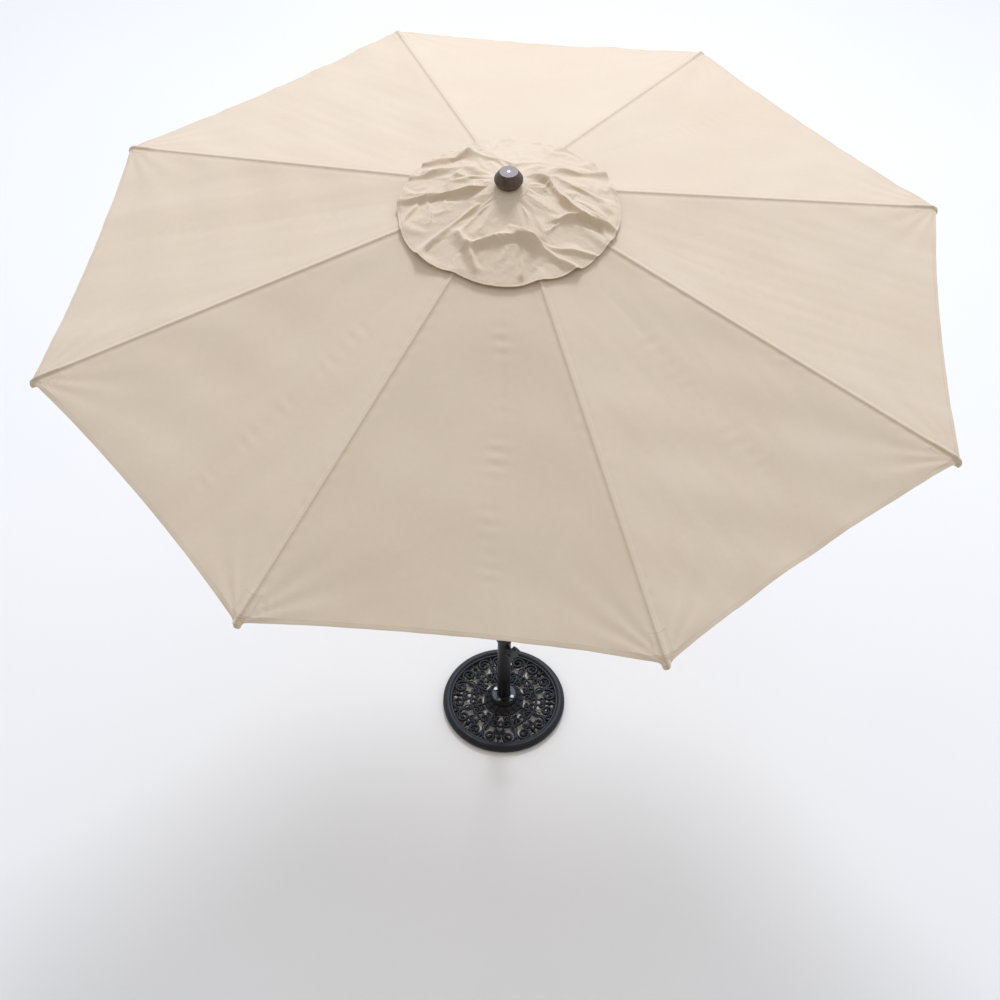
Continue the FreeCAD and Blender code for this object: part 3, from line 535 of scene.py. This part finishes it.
def two_sided(name, top, normal, thick, weave, seam):
    """Closed cloth object from a grid of its upper face, with rounded custom normals."""
    rows, columns = top.shape[:2]
    under = top - normal * thick[:, :, None]
    both_maps = np.concatenate([weave, seam], 2)
    points = [top.reshape(-1, 3), under.reshape(-1, 3)]
    normals = [normal.reshape(-1, 3), -normal.reshape(-1, 3)]
    maps = [both_maps.reshape(-1, 4)] * 2
    quads = grid_faces(rows, columns, (False, False))
    row, column = rows // 2, columns // 2
    here = top[row, column]
    facing_up = np.cross(top[row + 1, column] - here, top[row, column + 1] - here) @ normal[row, column]
    if facing_up < 0:
        quads = quads[:, ::-1]
    faces = [quads, quads[:, ::-1] + rows * columns]
    base = 2 * rows * columns
    borders = [(np.s_[0, :], -1, 0), (np.s_[-1, :], 1, 0), (np.s_[:, 0], -1, 1), (np.s_[:, -1], 1, 1)]
    for where, sign, axis in borders:
        upper = top[where]
        lower = under[where]
        count = len(upper)
        outward = unit(sign * np.gradient(top, axis=axis)[where])
        points += [upper, lower]
        normals += [outward, outward]
        maps += [both_maps[where]] * 2
        wall = base + grid_faces(2, count, (False, False))[:, FLIPPED]
        facing = np.cross(upper[1] - upper[0], lower[0] - upper[0]) @ outward[0]
        if facing < 0:
            wall = wall[:, ::-1]
        faces.append(wall)
        base += 2 * count
    maps = np.concatenate(maps)
    item = mesh_object(name, np.concatenate(points), np.concatenate(faces))
    mesh = item.data
    corners = np.zeros(len(mesh.loops), np.int32)
    mesh.loops.foreach_get("vertex_index", corners)
    for title, part in (("weave", maps[:, :2]), ("seam", maps[:, 2:])):
        layer = mesh.uv_layers.new(name=title)
        layer.data.foreach_set("uv", part[corners].astype(np.float32).ravel())
    mesh.normals_split_custom_set_from_vertices([tuple(n) for n in np.concatenate(normals)])
    return item


def canopy_sector(rib):
    """Cloth from mid gore to mid gore round one rib, as top, normals and maps."""
    radii = row_radii()
    halves = radii * math.sin(HALF)
    gaps = np.stack([column_gaps(half) for half in halves])
    step = gaps[:, -1] - gaps[:, -2]
    beyond = np.concatenate([gaps, (gaps[:, -1] + step)[:, None]], 1)
    radius = np.repeat(radii[:, None], beyond.shape[1], 1)
    before = GORES[(rib - 1) % RIBS]
    after = GORES[rib % RIBS]
    left = [*before.points(radius, 1 - beyond / halves[:, None]), -beyond]
    right = [*after.points(radius, -1 + beyond / halves[:, None]), beyond]
    top, u, side, gap = (np.concatenate([a[:, ::-1], b[:, 1:]], 1) for a, b in zip(left, right))
    edge = np.repeat((CORNER_R - radii)[:, None], top.shape[1], 1)
    inner = np.repeat((radii - VENT_R)[:, None], top.shape[1], 1)
    weave = np.stack([side + rib * 0.37, u], -1)
    seam = np.stack([gap, np.minimum(edge, inner + 2.0)], -1)
    normal = grid_normals(top)
    keep = np.s_[:, 1:-1]
    thick = np.full(top.shape[:2], CLOTH)
    thick += 0.0010 * (np.minimum(edge, inner) < HEM + 0.0002)
    thick += 0.0008 * (np.abs(gap) < 0.0055)
    return top[keep], normal[keep], thick[keep], weave[keep], seam[keep]


def gather(item, rib, side, keep, tilt):
    """Give a half sector its own copy of its mesh; it is not gathered or lifted here.
    side, -1 for the gore before the rib and 1 for the one after, is not used."""
    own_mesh(item)


def add_cover(item, rib, node, gathering, looks):
    """Make a half sector a cloth piece that goes with its rib, in place of a CAD node."""
    item.data.materials.append(looks["canopy_cloth"])
    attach(item, f"rib_{rib + 1}")
    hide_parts(node)
    gather(item, rib, *gathering)


# Gathering of each half sector: its side of the rib, the width it keeps, and its lift in degrees.
HALVES = {"a": (-1, 0.125, 14.0), "b": (1, 0.155, 22.0)}
CAP_HALVES = {"a": (-1, 0.22, 20.0), "b": (1, 0.26, 24.0)}


POCKET_START = 0.078  # before the corner
POCKET_END = np.array([-0.003, -0.0005, 0.0015, 0.0032, 0.0045, 0.0054, 0.0059])  # beyond it


def pocket(rib, looks):
    """Sewn sleeve under the canopy's corner that closes round the end of one rib."""
    along = np.linspace(CORNER_R - POCKET_START, CORNER_R - 0.008, 20)
    rows = np.concatenate([along, CORNER_R + POCKET_END])
    angles = np.linspace(0, 2 * math.pi, 33)
    grid = []
    for radius in rows:
        share = (radius - rows[0]) / (CORNER_R - rows[0])
        mouth = 1 + 0.10 * (1 - smooth(0.0, 0.25, share))
        over = np.clip((radius - CORNER_R + 0.003) / 0.0090, 0, 0.995)
        closing = math.sqrt(1 - over**2)
        wide = 0.0104 * mouth * closing
        deep = 0.0112 * mouth * closing
        line = []
        for angle in angles:
            lateral = wide * np.sign(math.cos(angle)) * abs(math.cos(angle)) ** 0.6
            rise = deep * np.sign(math.sin(angle)) * abs(math.sin(angle)) ** 0.6
            wrinkle = 0.0005 * math.sin(30 * share + 3 * angle + rib) * closing
            line.append((radius, lateral + wrinkle, ridge_height(radius) - RIB_MIDDLE + rise))
        grid.append(line)
    grid = np.array(grid)
    run = grid[:, :, 0]
    normal = unit(grid - np.stack([run, run * 0, ridge_height(run) - RIB_MIDDLE], -1))
    normal[-6:] += np.array([0.8, 0, 0]) * np.linspace(0, 1, 6)[:, None, None]
    normal = unit(normal)
    spin = np.array(Matrix.Rotation(rib * PITCH, 3, "Z"))
    weave = np.stack([np.repeat(angles[None] * 0.011, len(rows), 0) + 0.11 * rib, run], -1)
    seam = np.stack([np.full(run.shape, 0.3), CORNER_R - run + 0.5], -1)
    thick = np.full(run.shape, 0.0009)
    item = two_sided(f"rib_pocket_{rib + 1}", grid @ spin.T, normal @ spin.T, thick, weave, seam)
    item.data.materials.append(looks["canopy_cloth"])
    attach(item, f"rib_{rib + 1}")
    return item


def build_canopy(looks):
    """One continuous sheet, parted only at the ribs and mid gores so that it can fold."""
    for rib in range(RIBS):
        top, normal, thick, weave, seam = canopy_sector(rib)
        sleeve = pocket(rib, looks)
        centre = top.shape[1] // 2
        for letter, gathering in HALVES.items():
            side = gathering[0]
            half = np.s_[:, : centre + 1] if side < 0 else np.s_[:, centre:]
            title = f"canopy_cover_{rib + 1}{letter}"
            item = two_sided(title, top[half], normal[half], thick[half], weave[half], seam[half])
            add_cover(item, rib, f"canopy_{rib + 1}", gathering, looks)


# --- The vent cap ----------------------------------------------------------------------

CAP_COLUMNS = 48
CAP_HOLD_R = 0.046
CAP_REACH = 0.302
CAP_TURN = math.radians(-16)

# Folds of the cap: height, width of the steep side, width of the gentle side, then the fold's
# line. The steep side is on the left of the line. x is to the right and y away from the front.
FOLDS = [
    (0.017, 0.013, 0.034, [(-0.040, 0.075), (-0.105, 0.118), (-0.215, 0.118), (-0.292, 0.128)]),
    (-0.010, 0.020, 0.020, [(-0.065, 0.075), (-0.180, 0.080), (-0.270, 0.085)]),
    (0.021, 0.006, 0.036, [(-0.040, 0.028), (-0.105, -0.006), (-0.170, 0.004), (-0.300, 0.014)]),
    (0.006, 0.004, 0.012, [(-0.216, 0.002), (-0.204, -0.030), (-0.206, -0.085)]),
    (0.008, 0.006, 0.014, [(-0.245, -0.012), (-0.275, -0.065), (-0.282, -0.118)]),
    (0.012, 0.016, 0.022, [(-0.020, -0.024), (-0.085, -0.088), (-0.130, -0.140)]),
    (0.011, 0.010, 0.024, [(-0.080, -0.050), (-0.160, -0.118), (-0.238, -0.190)]),
    (0.018, 0.012, 0.016, [(-0.136, -0.138), (-0.108, -0.192), (-0.085, -0.250)]),
    (-0.012, 0.014, 0.016, [(-0.215, -0.178), (-0.150, -0.186)]),
    (0.019, 0.020, 0.007, [(-0.108, -0.190), (-0.045, -0.172), (0.020, -0.164), (0.066, -0.188)]),
    (-0.013, 0.018, 0.020, [(-0.075, -0.222), (-0.015, -0.212), (0.045, -0.205)]),
    (0.015, 0.014, 0.014, [(0.014, -0.138), (0.066, -0.190), (0.130, -0.222), (0.178, -0.245)]),
    (0.010, 0.020, 0.006, [(0.066, -0.188), (0.170, -0.190), (0.248, -0.196)]),
    (0.010, 0.016, 0.018, [(0.018, -0.026), (0.052, -0.105), (0.064, -0.180)]),
    (0.021, 0.022, 0.008, [(0.045, 0.060), (0.104, 0.046), (0.142, -0.018), (0.192, -0.080)]),
    (0.010, 0.008, 0.018, [(0.080, 0.090), (0.172, 0.046), (0.245, 0.020)]),
    (-0.012, 0.020, 0.024, [(0.120, 0.020), (0.180, -0.012), (0.262, -0.040)]),
    (0.016, 0.008, 0.016, [(0.185, -0.034), (0.235, -0.072), (0.292, -0.104)]),
    (0.018, 0.026, 0.005, [(0.132, -0.098), (0.200, -0.078), (0.240, -0.090)]),
    (0.012, 0.018, 0.006, [(0.240, -0.090), (0.256, -0.130), (0.262, -0.175)]),
    (0.014, 0.014, 0.022, [(-0.120, 0.225), (-0.060, 0.172), (0.020, 0.130), (0.100, 0.150)]),
    (0.011, 0.010, 0.012, [(-0.250, 0.180), (-0.150, 0.190), (-0.060, 0.240)]),
    (0.012, 0.014, 0.016, [(0.120, 0.120), (0.190, 0.120), (0.262, 0.140)]),
    (0.008, 0.006, 0.008, [(0.030, -0.215), (0.034, -0.248), (0.032, -0.285)]),
]

FOLD_RELIEF = 1.3
HOLE_R = 0.0195

# Where the free edge stands off the canopy: middle, half width and height, round the rim.
LIFTS = [
    (82, 22, 0.034), (130, 18, 0.028), (36, 18, 0.032), (-10, 16, 0.014), (-62, 14, 0.010),
    (-102, 20, 0.012), (-142, 16, 0.010), (-170, 15, 0.008), (166, 14, 0.010), (105, 7, -0.004),
]


def fold_height(x, y):
    """Height that the folds add at points of the cap."""
    total = np.zeros_like(x)
    for height, steep, gentle, line in FOLDS:
        nearest = np.full(x.shape, 9.0)
        shape = np.zeros_like(x)
        run = len(line) - 1
        for part, (start, end) in enumerate(zip(line[:-1], line[1:])):
            along = np.array(end) - np.array(start)
            length = math.hypot(*along)
            share = ((x - start[0]) * along[0] + (y - start[1]) * along[1]) / length**2
            inside = np.clip(share, 0, 1)
            gap_x = x - start[0] - inside * along[0]
            gap_y = y - start[1] - inside * along[1]
            gap = np.hypot(gap_x, gap_y)
            left = along[0] * gap_y - along[1] * gap_x
            width = gentle + (steep - gentle) * smooth(-0.004, 0.004, left / length)
            place = (part + inside) / run
            fade = smooth(-0.22, 0.16, place) * (1 - 0.75 * smooth(0.72, 1.2, place))
            value = fade * (0.55 * np.exp(-gap / width) + 0.45 * np.exp(-((gap / width) ** 2)))
            shape = np.where(gap < nearest, value, shape)
            nearest = np.minimum(gap, nearest)
        total += FOLD_RELIEF * height * shape
    return total


def cap_top():
    """Height of the CAD cap at the finial and at its rim, and the rim's radius."""
    points = np.array([v.co for v in nodes["vent_cap"].data.vertices])
    radius = np.hypot(points[:, 0], points[:, 1])
    return points[:, 2].max(), points[radius > radius.max() - 0.001][:, 2].max(), radius.max()


def kept_above(height, lowest, soft):
    """Heights that ease off over the last soft distance instead of sinking below the lowest."""
    gap = height - lowest
    return lowest + np.where(gap > soft, gap, soft * np.exp(np.clip(gap / soft - 1, -6, 0)))


def cap_start():
    """Grid of the cap: a loose sheet held at the finial and tacked to each seam."""
    top, low, reach = cap_top()
    total = RIBS * CAP_COLUMNS
    angles = np.arange(total) * 2 * math.pi / total
    outer = np.linspace(CAP_HOLD_R, CAP_REACH, 54)[1:]
    radii = np.concatenate([[0.022, 0.030, 0.038, CAP_HOLD_R], outer])
    radius, angle = np.meshgrid(radii, angles, indexing="ij")
    share = smooth(CAP_HOLD_R, 0.11, radius)
    rim = (radius / CAP_REACH) ** 3
    turned = angle - CAP_TURN
    between = np.abs(np.sin(RIBS * angle / 2))
    wander = 0.012 * waves(np.cos(turned) * 1.4, np.sin(turned) * 1.4, 8)
    stretch = 1 + rim * (0.020 * between**1.5 - 0.020 + wander)
    spread = radius * stretch
    x = spread * np.cos(angle)
    y = spread * np.sin(angle)
    across = spread * np.cos(turned)
    away = spread * np.sin(turned)
    cone = top + (low - top) * (radius - HOLE_R) / (reach - HOLE_R)
    floor = ridge_height(spread / np.cos((angle + HALF) % PITCH - HALF) * math.cos(HALF)) + 0.0035
    lifts = np.zeros_like(x)
    for middle, half, height in LIFTS:
        off = np.degrees((turned - math.radians(middle) + math.pi) % (2 * math.pi) - math.pi)
        lifts += height * np.exp(-((off / half) ** 2)) * (radius / CAP_REACH) ** 5
    tack = between**0.5 + (1 - between**0.5) * (1 - smooth(0.23, 0.285, radius))
    folds = fold_height(across, away) * share * np.clip(tack + 0.25, 0, 1)
    fine = 0.0016 * share * waves(across / 0.030, away / 0.030, 5, 9)
    slack = 0.006 * share * waves(across / 0.09, away / 0.09, 6, 7)
    height = cone + folds + fine + slack + lifts * np.clip(tack, 0, 1)
    lowest = np.where(radius > VENT_R * 0.97, floor, cone - 0.020)
    height = np.where(share > 0, kept_above(height, lowest, 0.004), cone)
    return np.stack([x, y, height + 0.0006], -1), radii


SETTLE_FRAMES = 18
HELD_ROUND_SEAM = (-1, 0, 1)  # columns of the cap


def settle_cap(grid, radii):
    """Let the loose sheet come to rest on the canopy, held at the finial and tacked to the seams."""
    rows, total = grid.shape[:2]
    index = np.arange(rows * total).reshape(rows, total)
    cloth = mesh_object("settling", grid.reshape(-1, 3), grid_faces(rows, total))
    held = cloth.vertex_groups.new(name="held")
    held.add([int(v) for v in index[radii <= CAP_HOLD_R + 0.001].ravel()], 1.0, "REPLACE")
    tacked = np.flatnonzero(radii >= CAP_REACH - 0.012)
    for rib in range(RIBS):
        column = rib * CAP_COLUMNS
        for row in tacked:
            spots = [index[row, (column + shift) % total] for shift in HELD_ROUND_SEAM]
            held.add([int(v) for v in spots], 1.0, "REPLACE")
    floor = mesh_object("settling_floor", *cone_floor())
    floor.modifiers.new("hit", "COLLISION")
    floor.collision.thickness_outer = 0.002
    floor.collision.thickness_inner = 0.02
    cloth_settings(cloth)
    scene.frame_start = 1
    scene.frame_end = SETTLE_FRAMES + 5
    for number in range(1, SETTLE_FRAMES + 1):
        scene.frame_set(number)
    evaluated = cloth.evaluated_get(bpy.context.evaluated_depsgraph_get())
    settled = np.zeros(rows * total * 3, np.float32)
    evaluated.data.vertices.foreach_get("co", settled)
    scene.frame_set(1)
    for item in (cloth, floor):
        bpy.data.objects.remove(item)
    return settled.reshape(rows, total, 3).astype(float)


# Radius of each row of the stand-in, and how far the cloth may sag between two ribs there.
FLOOR_ROWS = [
    (0.036, 0.002), (0.07, 0.005), (0.11, 0.008), (0.15, 0.005), (VENT_R, 0.0), (0.24, 0.0), (0.42, 0.0),
]
FLOOR_LIFT = 0.0015


def cone_floor():
    """Stand-in for what lies under the cap: the ribs inside the vent, then the canopy."""
    sides = RIBS * 2
    points = []
    for radius, sag in FLOOR_ROWS:
        for step in range(sides):
            angle = step * HALF
            middle = step % 2
            shrink = math.cos(HALF) if middle else 1.0
            height = ridge_height(radius) + FLOOR_LIFT - sag * middle
            points.append((radius * shrink * math.cos(angle), radius * shrink * math.sin(angle), height))
    return points, grid_faces(len(FLOOR_ROWS), sides)


def clear_of_ribs(grid):
    """Raise the settled cloth where it would touch a rib inside the vent."""
    radius = np.hypot(grid[..., 0], grid[..., 1])
    angle = np.arctan2(grid[..., 1], grid[..., 0])
    off = (angle + HALF) % PITCH - HALF
    beside = np.abs(radius * np.sin(off))
    lowest = ridge_height(radius * np.cos(off)) + 0.0025 - 0.012 * smooth(0.008, 0.030, beside)
    lowest = np.where(radius < VENT_R * 1.1, lowest, -1.0)
    grid[..., 2] = kept_above(grid[..., 2], lowest, 0.003)
    return grid


CRISP_CLOTH = {
    "quality": 8, "mass": 0.16, "tension_stiffness": 25, "compression_stiffness": 25,
    "shear_stiffness": 12, "bending_stiffness": 30.0, "tension_damping": 15,
    "compression_damping": 15, "shear_damping": 10, "bending_damping": 5.0, "air_damping": 5,
    "vertex_group_mass": "held", "shrink_min": -0.002,
}


def cloth_settings(item):
    """Thin crisp polyester."""
    modifier = item.modifiers.new("cloth", "CLOTH")
    for name, value in CRISP_CLOTH.items():
        setattr(modifier.settings, name, value)
    modifier.settings.effector_weights.gravity = 0.25
    modifier.collision_settings.distance_min = 0.002
    modifier.collision_settings.collision_quality = 3
    modifier.point_cache.frame_start = 1
    modifier.point_cache.frame_end = SETTLE_FRAMES + 5


def build_cap(looks):
    """Vent cap: a held centre under the finial, and two half sectors that go with each rib."""
    grid, radii = cap_start()
    grid = clear_of_ribs(settle_cap(grid, radii))
    total = grid.shape[1]
    around = np.arange(-1, total + 1) % total
    normal = grid_normals(grid[:, around])[:, 1:-1]
    steps = np.linalg.norm(np.diff(grid, axis=0), axis=2).mean(1)
    distance = np.concatenate([[0], np.cumsum(steps)])
    edge = distance[-1] - distance
    thick = np.where(edge[:, None] < 0.009, 0.0024, 0.0012) * np.ones((1, total))
    rows = np.s_[1:]
    for rib in range(RIBS):
        for letter, gathering in CAP_HALVES.items():
            first = rib * CAP_COLUMNS - (CAP_COLUMNS // 2 if gathering[0] < 0 else 0)
            columns = np.arange(first, first + CAP_COLUMNS // 2 + 1)
            half = np.s_[rows, columns % total]
            angle = (columns - rib * CAP_COLUMNS) * 2 * math.pi / total
            lateral = np.outer(radii[rows], np.sin(angle))
            weave = np.stack([lateral + 0.2 * rib, np.outer(radii[rows], np.cos(angle))], -1)
            away = np.full(lateral.shape, 0.2)
            seam = np.stack([away, np.repeat(edge[rows][:, None], len(columns), 1) + 0.0030], -1)
            title = f"vent_cover_{rib + 1}{letter}"
            item = two_sided(title, grid[half], normal[half], thick[half], weave, seam)
            add_cover(item, rib, "vent_cap", gathering, looks)
    build_cap_centre(looks, grid, radii)


def build_cap_centre(looks, grid, radii):
    """Doubled cloth disc clamped under the finial, which stays with the mast's head."""
    rows = np.s_[0:5]
    total = grid.shape[1]
    pick = np.arange(total + 1) % total
    top = grid[rows][:, pick] + np.array([0, 0, 0.0011])
    normal = grid_normals(top)
    radius = np.repeat(radii[rows][:, None], len(pick), 1)
    angle = np.arange(total + 1) * 2 * math.pi / total
    weave = np.stack([radius * np.cos(angle), radius * np.sin(angle)], -1)
    seam = np.stack([np.full(radius.shape, 0.2), radii[4] - radius + 0.004], -1)
    item = two_sided("vent_cover_centre", top, normal, np.full(radius.shape, 0.0012), weave, seam)
    item.data.materials.append(looks["canopy_cloth"])
    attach(item, "head")


# --- The cast base ---------------------------------------------------------------------


def spiral(centre, start, reach, turns, way, height, steps=46):
    """Path that winds in round a centre."""
    share = np.linspace(0, 1, steps)
    radius = reach * (1 - 0.80 * share**0.85)
    angle = start + way * turns * 2 * math.pi * share
    x = centre[0] + radius * np.cos(angle)
    y = centre[1] + radius * np.sin(angle)
    return np.stack([x, y, np.full(steps, height)], 1)


def scroll(name, centre, start, reach, turns, way, height, thick):
    """C-scroll that swells into a round bud at its inner end."""
    path = spiral(centre, start, reach, turns, way, height)
    share = np.linspace(0, 1, len(path))
    wide = thick * (0.75 + 0.35 * np.sin(np.pi * share)) * (1 - 0.2 * share)
    wide += thick * 0.75 * np.exp(-(((share - 1) / 0.07) ** 2))
    return swept_mesh(name, path, wide, wide * 1.25)


def leaf(name, start, end, bulge, height, thick):
    """Pointed leaf outline between two points."""
    start = np.array(start)
    end = np.array(end)
    along = end - start
    side = np.array([-along[1], along[0]]) / np.linalg.norm(along)
    share = np.linspace(0, 1, 22)
    parts = []
    for way in (-1, 1):
        bow = bulge * np.sin(np.pi * share) ** 0.8
        path = start + share[:, None] * along + way * bow[:, None] * side
        path = np.concatenate([path, np.full((len(share), 1), height)], 1)
        parts.append(swept_mesh(f"{name}_{way}", path, thick, thick * 1.2))
    return parts


# Scrolls beside each spoke: centre, start angle, reach, turns, hand and thickness.
SCROLLS = [
    ("far", (0.166, 0.0300), -1.75, 0.0265, 1.55, 1, 0.0059),
    ("near", (0.112, 0.0215), -1.4, 0.0180, 1.45, -1, 0.0050),
    ("hook", (0.137, 0.0475), -2.6, 0.0125, 1.2, 1, 0.0045),
    ("curl", (0.086, 0.0150), 2.4, 0.0105, 1.2, -1, 0.0040),
]
CAST_MIDDLE = 0.0095  # height of the scrollwork's middle over the base's underside


def base_motif(floor):
    """Scrollwork of one eighth of the base, round the X axis."""
    parts = []
    height = floor + CAST_MIDDLE
    spoke = np.linspace([0.060, 0, height - 0.001], [0.204, 0, height - 0.001], 30)
    swell = 0.0042 + 0.0022 * np.cos(np.linspace(0, 4 * np.pi, 30)) ** 2
    parts.append(swept_mesh("spoke", spoke, swell, 0.0068))
    for way in (-1, 1):
        for name, (x, y), start, reach, turns, hand, thick in SCROLLS:
            parts.append(scroll(name, (x, way * y), way * start, reach, turns, way * hand, height, thick))
    parts += leaf("leaf", (0.118, 0.0), (0.160, 0.0), 0.0105, height + 0.002, 0.0030)
    turn = Matrix.Rotation(HALF, 4, "Z")
    between = leaf("drop", (0.098, 0.0), (0.150, 0.0), 0.0130, height, 0.0036)
    profile = [(0.0005, 0.014), (0.0060, 0.011), (0.0085, 0.005), (0.0085, -0.003), (0.0005, -0.005)]
    bud = turned_mesh("bud", profile, 20)
    bud.data.transform(Matrix.Translation((0.172, 0.0, height)))
    path = np.linspace([0.150, 0, height - 0.001], [0.204, 0, height - 0.001], 12)
    link = swept_mesh("link", path, 0.0045, 0.0060)
    for item in between + [bud, link]:
        item.data.transform(turn)
        parts.append(item)
    return parts


def build_base(looks):
    """Openwork cast base with rim, beading, scrolls and petalled boss."""
    low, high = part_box("base_casting")
    floor = low.z
    rim_r = high.x
    tall = high.z
    parts = []
    for eighth in range(RIBS):
        for item in base_motif(floor):
            item.data.transform(Matrix.Rotation(eighth * PITCH, 4, "Z"))
            parts.append(item)
    rim = [
        (-0.0360, 0.0010), (-0.0340, 0.0000), (-0.0040, 0.0000), (-0.0012, 0.0012), (0.0, 0.0045),
        (0.0, 0.0100), (-0.0012, 0.0140), (-0.0045, 0.0184), (-0.0085, 0.0214), (-0.0130, 0.0234),
        (-0.0180, 0.0240), (-0.0230, 0.0230), (-0.0262, 0.0206), (-0.0272, 0.0186), (-0.0290, 0.0180),
        (-0.0312, 0.0186), (-0.0332, 0.0176), (-0.0350, 0.0150), (-0.0358, 0.0110), (-0.0360, 0.0060),
    ]
    parts.append(turned_mesh("rim", [(rim_r + r, floor + z) for r, z in rim], 160))
    middle = floor + CAST_MIDDLE
    ring = [(0.1215 + 0.0042 * math.cos(a), middle + 0.0058 * math.sin(a)) for a in round_angles(14)]
    parts.append(turned_mesh("ring", ring[::-1], 128))
    parts.append(beading(rim_r - 0.0385, floor + 0.0100, 0.0036, 96))
    boss = [
        (0.0062, 0.006), (0.066, 0.002), (0.0725, 0.004), (0.0745, 0.008), (0.0735, 0.012),
        (0.069, 0.0145), (0.066, 0.0150), (0.0625, 0.0185), (0.060, 0.0230), (0.0545, 0.0275),
        (0.0515, 0.0300), (0.0505, 0.0360), (0.0498, 0.0395), (0.0482, 0.0430), (0.0480, tall - floor),
        (0.0062, tall - floor),
    ]
    parts.append(turned_mesh("boss", [(r, floor + z) for r, z in boss], 96))
    parts += petals(floor)
    base = joined("base_scrollwork", parts)
    base.data.materials.clear()
    base.data.materials.append(looks["cast_black"])
    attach(base, "base")
    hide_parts("base_casting")


def beading(radius, height, size, count):
    """Ring of small half-round beads."""
    parts = []
    profile = [(0.0002, size), (size * 0.7, size * 0.7), (size, 0.0), (size * 0.7, -size), (0.0002, -size)]
    for angle in round_angles(count):
        bead = turned_mesh("bead", profile, 10)
        bead.data.transform(Matrix.Translation((radius * math.cos(angle), radius * math.sin(angle), height)))
        parts.append(bead)
    return joined("beading", parts)


def petals(floor):
    """Raised petals round the boss."""
    parts = []
    share = np.linspace(0, 1, 12)
    for angle in round_angles(16):
        path = np.stack([0.050 + 0.0205 * share, 0 * share, floor + 0.030 - 0.0165 * share], 1)
        wide = 0.0068 * np.sin(np.pi * np.clip(0.25 + 0.72 * share, 0, 1)) + 0.0004
        petal = swept_mesh("petal", path, wide, wide * 0.55 + 0.001)
        petal.data.transform(Matrix.Rotation(angle, 4, "Z"))
        parts.append(petal)
    return parts


# --- Stage and camera ------------------------------------------------------------------


FLOOR_HALF = 30
DOME_STRENGTH = 0.66
DOME_FRONT = (0.47, 0.41, 0.28, 1)
DOME_BACK = (1.54, 1.70, 2.16, 1)
BACK_LIGHT = (0.42, 0.87, 0.25)
KEY_POWER = 235.0
KEY_COLOUR = (0.94, 1.00, 1.20)
KEY_PLACE = (1.7, 4.3, 6.8)
KEY_TARGET = (0, 0, 2.2)
CAMERA_PLACE = (-0.9475, -3.1961, 5.09)
CAMERA_TURN = (-16.2, 49.6, 0.3)  # azimuth, elevation and roll, in degrees
CAMERA_LENS = 57.6


def build_stage():
    """Pale floor, and soft studio light that is stronger from behind."""
    corners = [(FLOOR_HALF * x, FLOOR_HALF * y, 0) for x, y in ((-1, -1), (1, -1), (1, 1), (-1, 1))]
    floor = mesh_object("floor", corners, [range(4)], False)
    floor.data.materials.append(floor_material())
    world = bpy.data.worlds.new("studio")
    scene.world = world
    world.use_nodes = True
    tree = world.node_tree
    background = tree.nodes["Background"]
    background.inputs["Strength"].default_value = DOME_STRENGTH
    direction = tree.nodes.new("ShaderNodeTexCoord")
    toward = tree.nodes.new("ShaderNodeVectorMath")
    toward.operation = "DOT_PRODUCT"
    toward.inputs[1].default_value = BACK_LIGHT
    tree.links.new(direction.outputs["Generated"], toward.inputs[0])
    ramp = tree.nodes.new("ShaderNodeMapRange")
    ramp.inputs["From Min"].default_value = -1.0
    tree.links.new(toward.outputs["Value"], ramp.inputs["Value"])
    colours = tree.nodes.new("ShaderNodeMix")
    colours.data_type = "RGBA"
    colours.inputs["A"].default_value = DOME_FRONT
    colours.inputs["B"].default_value = DOME_BACK
    tree.links.new(ramp.outputs["Result"], colours.inputs["Factor"])
    tree.links.new(colours.outputs["Result"], background.inputs["Color"])
    lamp = bpy.data.lights.new("key", "AREA")
    lamp.shape = "DISK"
    lamp.size = 1.6
    lamp.energy = KEY_POWER
    lamp.color = KEY_COLOUR
    item = bpy.data.objects.new("key", lamp)
    scene.collection.objects.link(item)
    item.location = KEY_PLACE
    item.rotation_mode = "QUATERNION"
    item.rotation_quaternion = (Vector(KEY_TARGET) - Vector(KEY_PLACE)).to_track_quat("-Z", "Y")


def build_camera():
    """Camera above the eave, looking down over the canopy to the base."""
    azimuth, elevation, roll = (math.radians(a) for a in CAMERA_TURN)
    flat = math.cos(elevation)
    back = Vector((math.sin(azimuth) * flat, -math.cos(azimuth) * flat, math.sin(elevation)))
    data = bpy.data.cameras.new("camera")
    data.lens = CAMERA_LENS
    data.sensor_width = 36.0
    data.clip_end = 200
    item = bpy.data.objects.new("camera", data)
    scene.collection.objects.link(item)
    item.location = CAMERA_PLACE
    item.rotation_mode = "QUATERNION"
    level = (-back).to_track_quat("-Z", "Y")
    item.rotation_quaternion = level @ Matrix.Rotation(roll, 3, "Z").to_quaternion()
    scene.camera = item
    scene.view_settings.view_transform = "Standard"


looks = finish_frame()
build_base(looks)
build_canopy(looks)
build_cap(looks)
build_stage()
build_camera()
